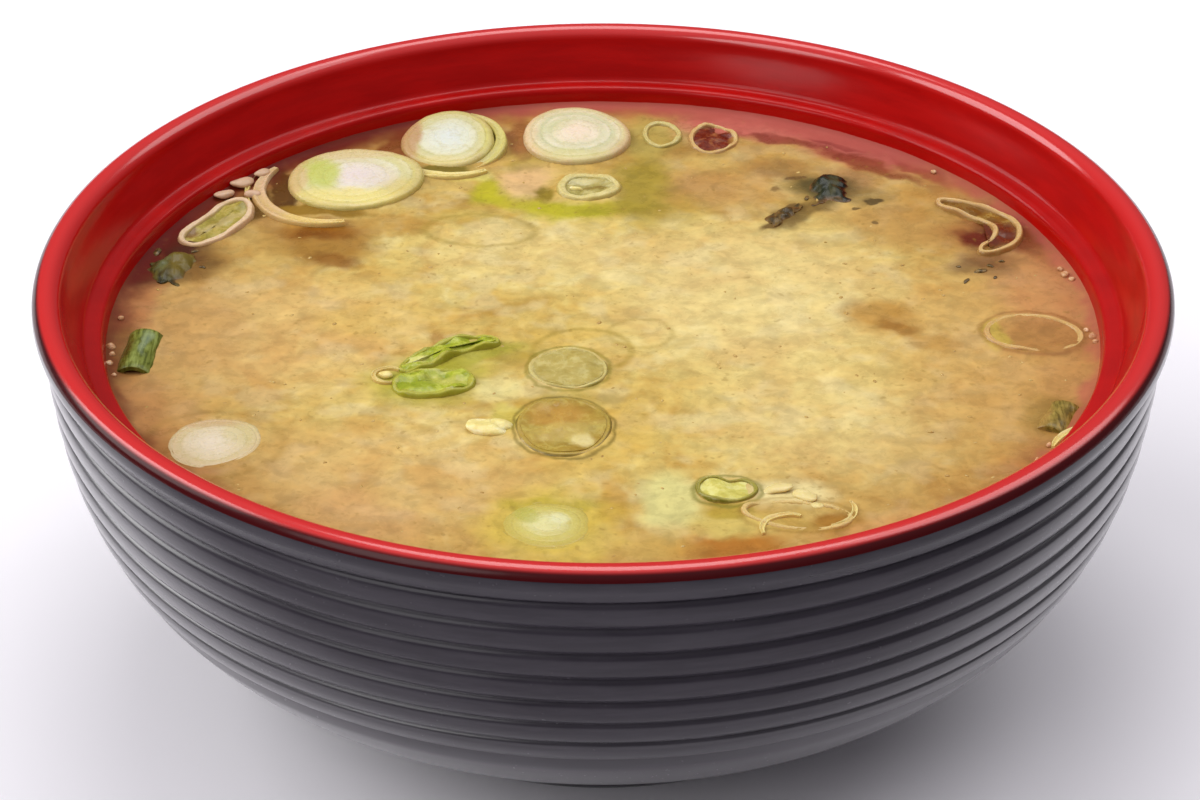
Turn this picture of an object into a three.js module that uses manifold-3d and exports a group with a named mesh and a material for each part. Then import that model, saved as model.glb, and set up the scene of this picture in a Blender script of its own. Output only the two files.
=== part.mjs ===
// Miso soup in a lacquered bowl. Slices and rings of spring onion, pieces of its green leaf and bits of
// wakame seaweed float in the soup. Millimetres, +Z up: the bowl's foot stands on Z = 0, and the Z axis is
// the bowl's own axis. A person looks at the bowl from -Y, and +X is to their right.
import * as THREE from 'three';
import { mergeVertices } from 'three/addons/utils/BufferGeometryUtils.js';
import Module from 'manifold-3d';

const wasm = await Module();
wasm.setup();

// ---- Driving dimensions ----

const GAP = 0.3; // clear space between neighbouring pieces
const AROUND = 48; // steps round the bowl and the soup

const BOWL = {
  wallRadius: 58.6, // outside of the wall where it is widest
  wallTop: 45.5, // where the wall passes into the lip
  wallDepth: 46.4, // from there to the level where the wall's curve would close
  wallFullness: 3.1, // how far down the wall stays upright before it turns in
  flare: 1.2, // the wall opens out by this much as it nears the lip
  flareReach: 6,
  lipTop: 46,
  lipRadius: 1.6, // round section of the lip
  lipCentre: 58.4, // radius of the lip's crest
  ribTop: 42, // the highest groove
  ribPitch: 3.12, // from one groove to the next
  ribCount: 8,
  ribDepth: 0.55,
  hollowRadius: 52.8,
  hollowDepth: 41.5,
  hollowFullness: 3.4,
  ledgeRadius: 54.4, // a low step runs round the inside, just above the soup
  ledgeTop: 40.1,
  ledgeHeight: 0.9,
  footRadius: 32,
  footInside: 28.2,
  footHeight: 3.8,
  footTaper: 0.7, // the foot is narrower by this much where it meets the wall
  footEdge: 0.4,
  recess: 1.7, // the underside inside the foot is this far up
};

const SOUP = {
  level: 38,
  climb: 0.35, // the soup creeps up the wall by this much
  climbWidth: 2.2,
};

const RING_HEIGHT = 2.4; // how thick the onion was sliced for its rings
const SLICE_HEIGHT = 3; // and for its solid slices

// ---- Colours and finishes ----

const finish = (color, roughness) => new THREE.MeshStandardMaterial({ color, roughness, metalness: 0 });
const LACQUER = () => finish(0x3a363d, 0.32);
const MISO = () => finish(0xc9a869, 0.25);
const WHITE_ONION = () => finish(0xe9e6c4, 0.3);
const PALE_ONION = () => finish(0xc9c487, 0.3);
const GREEN_ONION = () => finish(0x7f9e2c, 0.3);
const SEAWEED = () => finish(0x2c3a22, 0.3);

// ---- Solids ----

// A closed geometry as a solid: shared vertices are merged and faces that shrank to a line are left out.
function toSolid(geometry) {
  const bare = geometry.index ? geometry.toNonIndexed() : geometry.clone();
  bare.deleteAttribute('normal');
  bare.deleteAttribute('uv');
  const merged = mergeVertices(bare, 1e-4);
  const index = merged.index.array;
  const kept = [];
  for (let i = 0; i < index.length; i += 3) {
    const [a, b, c] = [index[i], index[i + 1], index[i + 2]];
    if (a !== b && b !== c && c !== a) kept.push(a, b, c);
  }
  const triVerts = new Uint32Array(kept);
  const vertProperties = merged.attributes.position.array;
  return new wasm.Manifold(new wasm.Mesh({ numProp: 3, vertProperties, triVerts }));
}

function toGeometry(solid) {
  const mesh = solid.getMesh();
  const geometry = new THREE.BufferGeometry();
  geometry.setAttribute('position', new THREE.BufferAttribute(mesh.vertProperties, 3));
  geometry.setIndex(new THREE.BufferAttribute(mesh.triVerts, 1));
  geometry.computeVertexNormals();
  return geometry;
}

// A profile of [radius, height] pairs, turned about the Z axis.
function turned(profile, steps) {
  const points = profile.map(([radius, height]) => new THREE.Vector2(radius, height));
  return new THREE.LatheGeometry(points, steps).rotateX(Math.PI / 2);
}

const radians = THREE.MathUtils.degToRad;

// Evenly spaced values from one end to the other, both ends included.
const spread = (from, to, count) =>
  Array.from({ length: count }, (_, i) => from + ((to - from) * i) / (count - 1));

// ---- The bowl ----

// Both sides of the wall follow the same kind of curve: upright at the top, turning in towards the foot.
const curveRadius = (radius, depth, fullness, z) =>
  radius * Math.sqrt(Math.max(0, 1 - ((BOWL.wallTop - z) / depth) ** fullness));

const wallRadius = (z) =>
  curveRadius(BOWL.wallRadius, BOWL.wallDepth, BOWL.wallFullness, z) +
  BOWL.flare * Math.exp((z - BOWL.wallTop) / BOWL.flareReach);
const hollowRadius = (z, inset) =>
  curveRadius(BOWL.hollowRadius - inset, BOWL.hollowDepth - inset, BOWL.hollowFullness, z);

// The hollow's curve from the floor's middle up to a height. The steps are close where it turns fast, and
// they lie at the same levels in the bowl and in the soup, so that the gap between the two stays even.
function hollowProfile(top, inset) {
  const floor = BOWL.wallTop - BOWL.hollowDepth + inset;
  const levels = spread(0, 1, 8).map((t) => floor + (BOWL.ledgeTop - BOWL.ledgeHeight - floor) * t ** 2.2);
  const heights = [...levels.filter((z) => z < top - 1), top];
  return heights.map((z) => [hollowRadius(z, inset), z]);
}

// Between two grooves the wall swells out in a low round rib.
function ribProfile() {
  const swell = [0, 0.3, 0.7];
  const points = [];
  for (let rib = BOWL.ribCount - 1; rib > 0; rib -= 1) {
    const low = BOWL.ribTop - rib * BOWL.ribPitch;
    for (const t of swell) {
      const z = low + t * BOWL.ribPitch;
      points.push([wallRadius(z) - BOWL.ribDepth * (1 - 4 * t * (1 - t)), z]);
    }
  }
  points.push([wallRadius(BOWL.ribTop) - BOWL.ribDepth, BOWL.ribTop]);
  return points;
}

function bowlSolid() {
  const { lipTop, lipRadius, lipCentre, ledgeRadius, ledgeTop, ledgeHeight } = BOWL;
  const { footRadius, footInside, footHeight, footTaper, footEdge, recess } = BOWL;
  const foot = [
    [0, recess],
    [footInside - recess / 2, recess],
    [footInside, 0],
    [footRadius - footEdge, 0],
    [footRadius, footEdge],
    [footRadius - footTaper, footHeight],
  ];
  const lowestGroove = BOWL.ribTop - (BOWL.ribCount - 1) * BOWL.ribPitch;
  const wallFoot = footHeight + GAP;
  const under = spread(0, 1, 7)
    .slice(0, -1)
    .map((t) => wallFoot + (lowestGroove - wallFoot) * t ** 1.5)
    .map((z) => [wallRadius(z), z]);
  const lipHeight = lipTop - lipRadius;
  const lip = spread(-27, 198, 7)
    .map(radians)
    .map((a) => [lipCentre + lipRadius * Math.cos(a), lipHeight + lipRadius * Math.sin(a)]);
  const ledge = [
    [ledgeRadius + 0.5 * ledgeHeight, ledgeTop + 0.7 * ledgeHeight],
    [ledgeRadius, ledgeTop],
    [ledgeRadius - ledgeHeight, ledgeTop - 0.3 * ledgeHeight],
  ];
  const inside = hollowProfile(ledgeTop - ledgeHeight, 0).reverse();
  return turned([...foot, ...under, ...ribProfile(), ...lip, ...ledge, ...inside], AROUND);
}

// ---- The soup ----

function soupFill() {
  const edge = SOUP.level + SOUP.climb;
  const top = [
    [hollowRadius(edge, GAP) - SOUP.climbWidth / 3, SOUP.level + SOUP.climb / 3],
    [hollowRadius(edge, GAP) - SOUP.climbWidth, SOUP.level],
    [0, SOUP.level],
  ];
  return turned([...hollowProfile(edge, GAP), ...top], AROUND);
}

// ---- Outlines of the onion pieces, counter-clockwise, about their own middle ----

// An oval whose edge wanders in and out. A notch dents it from the side of +Y.
function ovalOutline({ length, width, wander = 0.04, phase = 0, notch = 0, points = 20 }) {
  return spread(0, 1, points + 1).slice(0, -1).map((t) => {
    const angle = 2 * Math.PI * t;
    const wave = Math.sin(2 * angle + phase) + 0.6 * Math.sin(3 * angle + 2.3 * phase);
    const dent = notch * Math.exp(-(((angle - Math.PI / 2) / 0.5) ** 2));
    const reach = 1 + wander * wave - dent;
    return new THREE.Vector2((length / 2) * reach * Math.cos(angle), (width / 2) * reach * Math.sin(angle));
  });
}

// A ring that was pressed flat and bent: it runs out along one side of a curved middle line and comes back
// along the other. The middle line turns by `bend` degrees, most of them near `bendAt`.
function foldedOutline({ length, width, bend = 0, bendAt = 0.5, bendSpan = 0.6, points = 24 }) {
  const turnAt = (u) =>
    radians(bend) * THREE.MathUtils.smoothstep(u, bendAt - bendSpan / 2, bendAt + bendSpan / 2);
  const pieces = 60;
  const line = [new THREE.Vector2(0, 0)];
  for (let i = 0; i < pieces; i += 1) {
    const heading = turnAt((i + 0.5) / pieces);
    const step = new THREE.Vector2(Math.cos(heading), Math.sin(heading)).multiplyScalar(length / pieces);
    line.push(line[i].clone().add(step));
  }
  const middle = line[0].clone().add(line[pieces]).multiplyScalar(0.5);
  return spread(0, 1, points + 1).slice(0, -1).map((t) => {
    const angle = 2 * Math.PI * t + Math.PI;
    const u = (1 + Math.cos(angle)) / 2;
    const at = Math.min(pieces - 1, Math.floor(u * pieces));
    const spot = line[at].clone().lerp(line[at + 1], u * pieces - at);
    const aside = (width / 2) * Math.sin(angle) * Math.sqrt(1 + Math.cos(angle) ** 2);
    const heading = turnAt(u);
    return new THREE.Vector2(-Math.sin(heading), Math.cos(heading))
      .multiplyScalar(aside).add(spot).sub(middle);
  });
}

// The strip between two arcs, pointed at both ends: a layer that has come off a slice.
function curlOutline({ radius, wall, from, to, points = 12 }) {
  const arc = (side) => spread(0, 1, points).map((t) => {
    const angle = radians(from + (to - from) * t);
    const reach = radius + side * (wall / 2) * Math.sin(Math.PI * (0.12 + 0.76 * t));
    return new THREE.Vector2(reach * Math.cos(angle), reach * Math.sin(angle));
  });
  return [...arc(1), ...arc(-1).reverse()];
}

// Each point of an outline, moved inwards, or outwards where the distance is negative.
function inset(outline, distance) {
  return outline.map((point, i) => {
    const next = outline[(i + 1) % outline.length];
    const last = outline[(i + outline.length - 1) % outline.length];
    const along = next.clone().sub(last).normalize();
    return new THREE.Vector2(-along.y, along.x).multiplyScalar(distance).add(point);
  });
}

// ---- Pieces that float. Each has its body and the pocket that the soup leaves for it. Their top is at
// Z = 0. The pocket is the body grown by the gap and open upwards. ----

const HEADROOM = 4;

function upright(outline, hole, height, top) {
  const shape = new THREE.Shape(outline);
  if (hole) shape.holes.push(new THREE.Path(hole));
  return new THREE.ExtrudeGeometry(shape, { depth: height + top, bevelEnabled: false })
    .translate(0, 0, -height);
}

function ringPiece(outline, wall, height = RING_HEIGHT) {
  return {
    body: toSolid(upright(outline, inset(outline, wall), height, 0)),
    pocket: toSolid(upright(inset(outline, -GAP), inset(outline, wall + GAP), height + GAP, HEADROOM)),
  };
}

function stripPiece(outline, height = RING_HEIGHT) {
  return {
    body: toSolid(upright(outline, null, height, 0)),
    pocket: toSolid(upright(inset(outline, -GAP), null, height + GAP, HEADROOM)),
  };
}

// A solid slice: a disc with a soft edge and a low crown. A furrow shows where its outer layer ends.
function slicePiece({ length, width, height = SLICE_HEIGHT, crown = 0.3, wander = 0.02, phase = 0 }) {
  const steps = 20;
  const squashed = (geometry) => {
    const spots = geometry.attributes.position;
    for (let i = 0; i < spots.count; i += 1) {
      const angle = Math.atan2(spots.getY(i), spots.getX(i));
      const reach = 1 + wander * Math.sin(2 * angle + phase) + wander * Math.sin(3 * angle + 2 * phase);
      spots.setXY(i, spots.getX(i) * reach, ((spots.getY(i) * reach) * width) / length);
    }
    return geometry;
  };
  const radius = length / 2;
  const body = [
    [0, -height],
    [radius - 0.5, -height],
    [radius, -height + 0.6],
    [radius, -0.8],
    [radius - 0.5, -0.3],
    [radius * 0.74, -0.12],
    [radius * 0.66, -0.3],
    [radius * 0.5, 0],
    [0, crown],
  ];
  const grown = radius + 1.6 * GAP;
  const pocket = [[0, -height - GAP], [grown, -height - GAP], [grown, HEADROOM], [0, HEADROOM]];
  return {
    body: toSolid(squashed(turned(body, steps))),
    pocket: toSolid(squashed(turned(pocket, steps))),
  };
}

// A short length of leaf tube that lies on its side, its own axis along Y.
function tubePiece({ across, high, long, wall }) {
  const outline = ovalOutline({ length: across, width: high, wander: 0.03, phase: 1, points: 18 });
  const trenchOutline = ovalOutline({ length: across + 4 * GAP, width: high + 4 * GAP, points: 12 });
  const trenchHalf = long / 2 + GAP;
  const laid = (geometry) => toSolid(geometry.rotateX(Math.PI / 2).translate(0, 0, -high / 2));
  return {
    body: laid(upright(outline, inset(outline, wall), long / 2, long / 2)),
    pocket: laid(upright(trenchOutline, null, trenchHalf, trenchHalf)),
  };
}

// A leaf: a thin wavy sheet on a grid of rings and spokes. Both faces are split into triangles alike.
function leafSheet({ length, width, thickness, wave, phase, grow, top }) {
  const spokes = 18;
  const rings = [0.45, 0.8, 1];
  const positions = [];
  const height = (x, y) => wave * Math.sin(0.9 * x + phase) * Math.cos(0.7 * y - phase);
  for (const side of [top, -thickness - grow]) {
    positions.push(0, 0, height(0, 0) + side);
    for (const ring of rings) {
      for (let i = 0; i < spokes; i += 1) {
        const angle = (2 * Math.PI * i) / spokes;
        const reach = ring * (1 + 0.12 * Math.sin(3 * angle + phase) + 0.07 * Math.sin(5 * angle));
        const x = (length / 2 + grow) * reach * Math.cos(angle);
        const y = (width / 2 + grow) * reach * Math.sin(angle);
        positions.push(x, y, height(x, y) + side);
      }
    }
  }
  const perSide = 1 + rings.length * spokes;
  const at = (ring, i) => 1 + ring * spokes + (i % spokes);
  const upper = [];
  for (let i = 0; i < spokes; i += 1) {
    upper.push([0, at(0, i), at(0, i + 1)]);
    for (let ring = 0; ring < rings.length - 1; ring += 1) {
      upper.push([at(ring, i), at(ring + 1, i), at(ring + 1, i + 1)]);
      upper.push([at(ring, i), at(ring + 1, i + 1), at(ring, i + 1)]);
    }
  }
  const index = [];
  for (const [a, b, c] of upper) {
    index.push(a, b, c);
    index.push(c + perSide, b + perSide, a + perSide);
  }
  const rim = rings.length - 1;
  for (let i = 0; i < spokes; i += 1) {
    const [a, b] = [at(rim, i), at(rim, i + 1)];
    index.push(a, a + perSide, b + perSide);
    index.push(a, b + perSide, b);
  }
  const geometry = new THREE.BufferGeometry();
  geometry.setAttribute('position', new THREE.Float32BufferAttribute(positions, 3));
  geometry.setIndex(index);
  return geometry;
}

function leafPiece({ length, width, thickness = 0.7, wave = 0.35, phase = 0 }) {
  return {
    body: toSolid(leafSheet({ length, width, thickness, wave, phase, grow: 0, top: 0 })),
    pocket: toSolid(leafSheet({ length, width, thickness, wave, phase, grow: 1.4 * GAP, top: HEADROOM })),
  };
}

// One piece made of several that touch, each shifted and turned in the plane.
function joined(parts) {
  const moved = parts.map(({ piece, x, y, turn = 0, down = 0 }) => ({
    body: piece.body.rotate([0, 0, turn]).translate([x, y, -down]),
    pocket: piece.pocket.rotate([0, 0, turn]).translate([x, y, -down]),
  }));
  return moved.reduce((sum, next) => ({
    body: sum.body.add(next.body),
    pocket: sum.pocket.add(next.pocket),
  }));
}

// ---- What floats where: x and y of its middle, lift of its top above the soup, turn in the plane, and
// the tilt about X and Y, in degrees ----

const FLOATING = [
  {
    name: 'slice_rear_left', material: WHITE_ONION(), x: -28.5, y: 32.2, lift: 1.1, turn: 8, tiltX: 2,
    piece: slicePiece({ length: 15.6, width: 14, phase: 0.6 }),
  },
  {
    name: 'slice_rear', material: WHITE_ONION(), x: -17.6, y: 41.4, lift: 1.3, turn: 0, tiltX: 8, tiltY: -3,
    piece: joined([
      { x: -0.6, y: 0.3, piece: slicePiece({ length: 10.8, width: 12, phase: 2 }) },
      {
        x: -0.3, y: 0.1, down: 0.6,
        piece: stripPiece(curlOutline({ radius: 5.9, wall: 1.5, from: -125, to: 70 })),
      },
    ]),
  },
  {
    name: 'slice_rear_middle', material: WHITE_ONION(), x: -3.2, y: 43.2, lift: 1.2, turn: 0, tiltX: 2,
    piece: slicePiece({ length: 12.9, width: 13.2, phase: 4 }),
  },
  {
    name: 'slice_front_left', material: WHITE_ONION(), x: -39.2, y: -24.6, lift: 0.3, turn: 35, tiltX: 1,
    piece: slicePiece({ length: 10.4, width: 9.8, phase: 1.2 }),
  },
  {
    name: 'slice_front', material: PALE_ONION(), x: -5.4, y: -39.5, lift: 0.2, turn: 10,
    piece: slicePiece({ length: 10.2, width: 9.6, phase: 3 }),
  },
  {
    name: 'curl_rear_left', material: PALE_ONION(), x: -30.9, y: 30.5, lift: 0.4,
    piece: stripPiece(curlOutline({ radius: 8.5, wall: 1.7, from: 144, to: 283 })),
  },
  {
    name: 'ring_rear_small', material: PALE_ONION(), x: -1.7, y: 31, lift: 0.5,
    piece: ringPiece(ovalOutline({ length: 7.4, width: 7.2, phase: 1 }), 1.4),
  },
  {
    name: 'ring_left', material: PALE_ONION(), x: -43.9, y: 22, lift: 0.8, turn: 45, tiltX: 4,
    piece: ringPiece(foldedOutline({ length: 11.6, width: 5, bend: 25 }), 1),
  },
  {
    name: 'ring_middle', material: PALE_ONION(), x: -3.6, y: -9.8, lift: 0.3, turn: 5,
    piece: ringPiece(ovalOutline({ length: 8.4, width: 9, phase: 2 }), 1.1),
  },
  {
    name: 'ring_middle_front', material: GREEN_ONION(), x: -4, y: -21.6, lift: 0.35, turn: 12,
    piece: ringPiece(ovalOutline({ length: 10, width: 11.6, phase: 0.4, wander: 0.03 }), 1.3),
  },
  {
    name: 'ring_front_folded', material: GREEN_ONION(), x: 12.2, y: -33.3, lift: 0.5, turn: -8,
    piece: ringPiece(ovalOutline({ length: 6.4, width: 5.2, notch: 0.32, wander: 0.02 }), 0.7),
  },
  {
    name: 'ring_front_right', material: PALE_ONION(), x: 19, y: -37.9, lift: 0.3, turn: -6,
    piece: ringPiece(ovalOutline({ length: 11, width: 5.6, phase: 2.6, wander: 0.06 }), 0.9),
  },
  {
    name: 'ring_right', material: PALE_ONION(), x: 45.7, y: -2.3, lift: 0.25, turn: -12,
    piece: ringPiece(ovalOutline({ length: 10.6, width: 8.6, phase: 0.9 }), 1),
  },
  {
    name: 'ring_rear_right', material: PALE_ONION(), x: 39.7, y: 21.2, lift: 0.7, turn: -36,
    piece: ringPiece(
      foldedOutline({ length: 17.6, width: 3.6, bend: -104, bendAt: 0.62, bendSpan: 0.6 }), 0.9,
    ),
  },
  {
    name: 'ring_rear_inner', material: PALE_ONION(), x: 6.9, y: 44.2, lift: 0.5, turn: 10,
    piece: ringPiece(ovalOutline({ length: 4.8, width: 7, phase: 0.7, wander: 0.05 }), 0.9),
  },
  {
    name: 'ring_rear_outer', material: PALE_ONION(), x: 12.9, y: 43.2, lift: 0.5, turn: -15,
    piece: ringPiece(ovalOutline({ length: 6.2, width: 7.6, phase: 3.1, wander: 0.06 }), 0.9),
  },
  {
    name: 'green_tube_left', material: GREEN_ONION(), x: -48.8, y: -6.8, lift: 1, turn: -4,
    piece: tubePiece({ across: 4, high: 3.2, long: 8, wall: 0.7 }),
  },
  {
    name: 'green_tube_right', material: GREEN_ONION(), x: 46.4, y: -19.6, lift: 0.7, turn: -24,
    piece: tubePiece({ across: 3.6, high: 2.8, long: 5.6, wall: 0.7 }),
  },
  {
    name: 'green_curl_middle', material: GREEN_ONION(), x: -16.6, y: -10.1, lift: 0.7,
    piece: joined([
      {
        x: 0.6, y: 2.6, turn: 45,
        piece: ringPiece(foldedOutline({ length: 12.5, width: 3.4, bend: -50, bendAt: 0.7 }), 0.8),
      },
      {
        x: -1.1, y: -2, turn: -4,
        piece: ringPiece(foldedOutline({ length: 8.8, width: 5.4, bend: 30 }), 1),
      },
    ]),
  },
  {
    name: 'wakame_rear', material: SEAWEED(), x: 25.9, y: 31, lift: 0.9, turn: 70,
    piece: leafPiece({ length: 8.6, width: 5.6, phase: 0.5 }),
  },
  {
    name: 'wakame_rear_strand', material: SEAWEED(), x: 20.4, y: 24.4, lift: 0.6, turn: 52,
    piece: leafPiece({ length: 6.4, width: 2.2, phase: 1.7, wave: 0.2 }),
  },
  {
    name: 'wakame_left', material: SEAWEED(), x: -47.4, y: 12.2, lift: 0.9, turn: 74,
    piece: leafPiece({ length: 7.6, width: 5.2, phase: 2.4 }),
  },
];

function placed({ name, material, piece, x, y, lift, turn = 0, tiltX = 0, tiltY = 0 }) {
  const mesh = new THREE.Mesh(toGeometry(piece.body), material);
  mesh.name = name;
  mesh.position.set(x, y, SOUP.level + lift);
  mesh.rotation.set(radians(tiltX), radians(tiltY), radians(turn));
  mesh.updateMatrix();
  return mesh;
}

// ---- Small bits that lie on the soup and are one with it ----

const CRUMBS = [
  { x: -11.6, y: -21.8, radius: 1.9 }, // a pale scrap of onion
  { x: -40.6, y: 28.9, radius: 1.1 }, // a white fleck near the wall
  { x: 41.6, y: 11.1, radius: 1.1 }, // specks of seaweed
  { x: -22, y: -12.1, radius: 1.3 }, // a small curl beside the green one
];

function crumb({ x, y, radius }) {
  const dome = new THREE.SphereGeometry(radius, 10, 6).rotateX(Math.PI / 2).scale(1, 1, 0.4);
  return toSolid(dome.translate(x, y, SOUP.level));
}

// ---- Assembly ----

const part = new THREE.Group();
const toppings = FLOATING.map(placed);

let soup = toSolid(soupFill());
for (const spot of CRUMBS) soup = soup.add(crumb(spot));
FLOATING.forEach(({ piece }, i) => {
  const pocket = toGeometry(piece.pocket).applyMatrix4(toppings[i].matrix);
  soup = soup.subtract(toSolid(pocket));
});

const bowlMesh = new THREE.Mesh(bowlSolid(), LACQUER());
bowlMesh.name = 'bowl';
const soupMesh = new THREE.Mesh(toGeometry(soup), MISO());
soupMesh.name = 'soup';
part.add(bowlMesh, soupMesh, ...toppings);

export default part;
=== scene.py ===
import math
import random

import bmesh
import bpy
from mathutils import Matrix, Vector, kdtree, noise


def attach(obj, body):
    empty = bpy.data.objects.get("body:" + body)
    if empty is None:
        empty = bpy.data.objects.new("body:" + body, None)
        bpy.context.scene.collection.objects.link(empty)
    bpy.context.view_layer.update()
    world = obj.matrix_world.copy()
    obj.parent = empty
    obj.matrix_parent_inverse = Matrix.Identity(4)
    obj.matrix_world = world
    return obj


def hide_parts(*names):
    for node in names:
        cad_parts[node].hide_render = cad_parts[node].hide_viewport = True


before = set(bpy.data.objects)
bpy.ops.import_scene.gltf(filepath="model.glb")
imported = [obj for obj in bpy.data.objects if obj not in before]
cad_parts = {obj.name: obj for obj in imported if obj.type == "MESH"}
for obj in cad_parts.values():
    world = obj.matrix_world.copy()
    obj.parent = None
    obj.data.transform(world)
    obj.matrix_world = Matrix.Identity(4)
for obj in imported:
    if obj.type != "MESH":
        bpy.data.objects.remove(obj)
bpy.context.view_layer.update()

# Miso soup in a lacquered bowl, with spring onion and wakame. Sizes are in millimetres until a piece is
# placed; the frame is in metres, +Z up, with the bowl's foot on Z = 0.

MM = 0.001

# ---- Sizes ----

BOWL_STEPS = 192
WALL_RADIUS, WALL_TOP, WALL_DEPTH, WALL_FULLNESS = 58.6, 45.5, 46.4, 3.1
FLARE, FLARE_REACH = 1.2, 6
LIP_TOP, LIP_RADIUS, LIP_CENTRE = 45.97, 1.57, 58.4
RIB_TOP, RIB_PITCH, RIB_COUNT, RIB_DEPTH = 42, 3.12, 8, 0.55
RIB_STEPS = (0, 0.03, 0.08, 0.16, 0.28, 0.42, 0.56, 0.68, 0.78, 0.86, 0.92, 0.96, 0.985)
RIB_SHOULDER = 2.1  # how full a rib's upper half is
HOLLOW_RADIUS, HOLLOW_DEPTH, HOLLOW_FULLNESS = 52.8, 41.5, 3.4
LEDGE_RADIUS, LEDGE_TOP = 54.4, 40.1
FOOT_RADIUS, FOOT_INSIDE, FOOT_HEIGHT, FOOT_TAPER, RECESS = 32, 28.2, 3.8, 0.7, 1.7
COAT_BORDER = 20  # degrees up the lip's arc, where the black coat ends and the red one begins
LIP_START, LIP_END = -27, 152  # degrees of the lip's arc, from its outside round to its inside
LEAST_WALL = 2.2  # what lies further in than this from the outside is the inside

SOUP_LEVEL, SOUP_CLIMB, CLIMB_WIDTH = 38, 0.45, 0.55
SOUP_GRID = 236  # faces along each side of the soup's surface
SOUP_WAVES = ((0.07, 9, 0.3), (0.035, 2.6, 4.1))  # how high, how wide, and a seed
CREEP, CREEP_WIDTH = 0.2, 0.55  # how high and how far out the soup creeps up on what floats
GRAIN_COUNT, GRAIN_REACH = 300, 51

# ---- Small helpers ----


def spread(start, end, count):
    return [start + (end - start) * i / (count - 1) for i in range(count)]


def smooth(share):
    share = min(1, max(0, share))
    return share * share * (3 - 2 * share)


def srgb(red, green, blue):
    """A colour given as on a screen, 0 to 255, as the light it sends back."""
    return tuple(
        (c / 255) / 12.92 if c / 255 <= 0.04045 else ((c / 255 + 0.055) / 1.055) ** 2.4
        for c in (red, green, blue)
    ) + (1.0,)


def moved(x, y, z):
    return Matrix.Translation(Vector((x, y, z)) * MM)


def swung(angle, axis):
    return Matrix.Rotation(math.radians(angle), 4, axis)


# ---- Modelling by hand ----


def put_down():
    if bpy.context.object is not None and bpy.context.object.mode != "OBJECT":
        bpy.ops.object.mode_set(mode="OBJECT")
    bpy.ops.object.select_all(action="DESELECT")


def pick_up(piece):
    put_down()
    piece.select_set(True)
    bpy.context.view_layer.objects.active = piece


def edit(piece):
    pick_up(piece)
    bpy.ops.object.mode_set(mode="EDIT")
    bpy.ops.mesh.select_mode(type="VERT")


def close_up(piece):
    """Merges doubled points and turns every face outwards."""
    bpy.ops.mesh.select_all(action="SELECT")
    bpy.ops.mesh.remove_doubles(threshold=0.002 * MM)
    bpy.ops.mesh.normals_make_consistent(inside=False)
    bpy.ops.object.mode_set(mode="OBJECT")


def turned(name, profile, steps):
    """A form turned about the Z axis from a profile of (radius, height), in millimetres."""
    put_down()
    radius, height = profile[0]
    bpy.ops.mesh.primitive_plane_add(size=MM, location=(radius * MM, 0, height * MM))
    piece = bpy.context.object
    piece.name = name
    bpy.ops.object.transform_apply(location=True)
    edit(piece)
    bpy.ops.mesh.select_all(action="SELECT")
    bpy.ops.mesh.merge(type="CENTER")
    for (r0, z0), (r1, z1) in zip(profile, profile[1:]):
        step = ((r1 - r0) * MM, 0, (z1 - z0) * MM)
        bpy.ops.mesh.extrude_region_move(TRANSFORM_OT_translate={"value": step})
    bpy.ops.mesh.select_all(action="SELECT")
    bpy.ops.mesh.spin(steps=steps, angle=2 * math.pi, center=(0, 0, 0), axis=(0, 0, 1))
    close_up(piece)
    return piece


def corner(point):
    return tuple(round(c, 9) for c in point.co)


def drawn(name, outline, loops, count, clockwise):
    """Draws an outline loop by loop and leaves it in edit mode. Each loop is in by so much from the
    outline, at its own height, and each point keeps how far across the piece it lies."""
    put_down()
    bpy.ops.mesh.primitive_circle_add(vertices=count, radius=1, fill_type="NOTHING")
    piece = bpy.context.object
    piece.name = name
    edit(piece)
    bpy.ops.mesh.select_all(action="SELECT")
    widest = max(in_by for in_by, _ in loops)
    places = {}
    for number, (in_by, height) in enumerate(loops):
        if number:
            bpy.ops.mesh.extrude_region_move()
        shape = bmesh.from_edit_mesh(piece.data)
        across = shape.verts.layers.float.get("across") or shape.verts.layers.float.new("across")
        shape.verts.ensure_lookup_table()
        fresh = {}
        for spot, point in enumerate(p for p in shape.verts if p.select):
            share = places[corner(point)] if number else spot
            x, y = outline(1 - share / count if clockwise else share / count, in_by)
            point.co = (x * MM, y * MM, height * MM)
            point[across] = in_by / widest
            fresh[corner(point)] = share
        places = fresh
        bmesh.update_edit_mesh(piece.data)
    return piece


def looped(name, outline, loops, count, hollow):
    """A hollow piece joins its last loop to its first. Any other is closed over at both ends."""
    piece = drawn(name, outline, loops, count, clockwise=True)
    if hollow:
        bpy.ops.mesh.select_all(action="DESELECT")
        bpy.ops.mesh.select_non_manifold(extend=False)
        bpy.ops.mesh.bridge_edge_loops()
    else:
        for height in (loops[-1][1], loops[0][1]):
            bpy.ops.mesh.select_all(action="DESELECT")
            bpy.ops.mesh.select_non_manifold(extend=False)
            shape = bmesh.from_edit_mesh(piece.data)
            for point in shape.verts:
                if abs(point.co.z - height * MM) > 1e-7:
                    point.select = False
            shape.select_flush(False)
            bmesh.update_edit_mesh(piece.data)
            bpy.ops.mesh.fill()
    close_up(piece)
    return piece


def looped_sheet(name, outline, loops, count):
    """An open sheet, closed in its middle."""
    piece = drawn(name, outline, loops, count, clockwise=False)
    bpy.ops.mesh.extrude_region_move()
    bpy.ops.mesh.merge(type="CENTER")
    bpy.ops.mesh.select_all(action="SELECT")
    bpy.ops.mesh.normals_make_consistent(inside=False)
    shape = bmesh.from_edit_mesh(piece.data)
    shape.faces.ensure_lookup_table()
    if shape.faces[0].normal.z < 0:
        bpy.ops.mesh.flip_normals()
    bpy.ops.object.mode_set(mode="OBJECT")
    return piece


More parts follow.
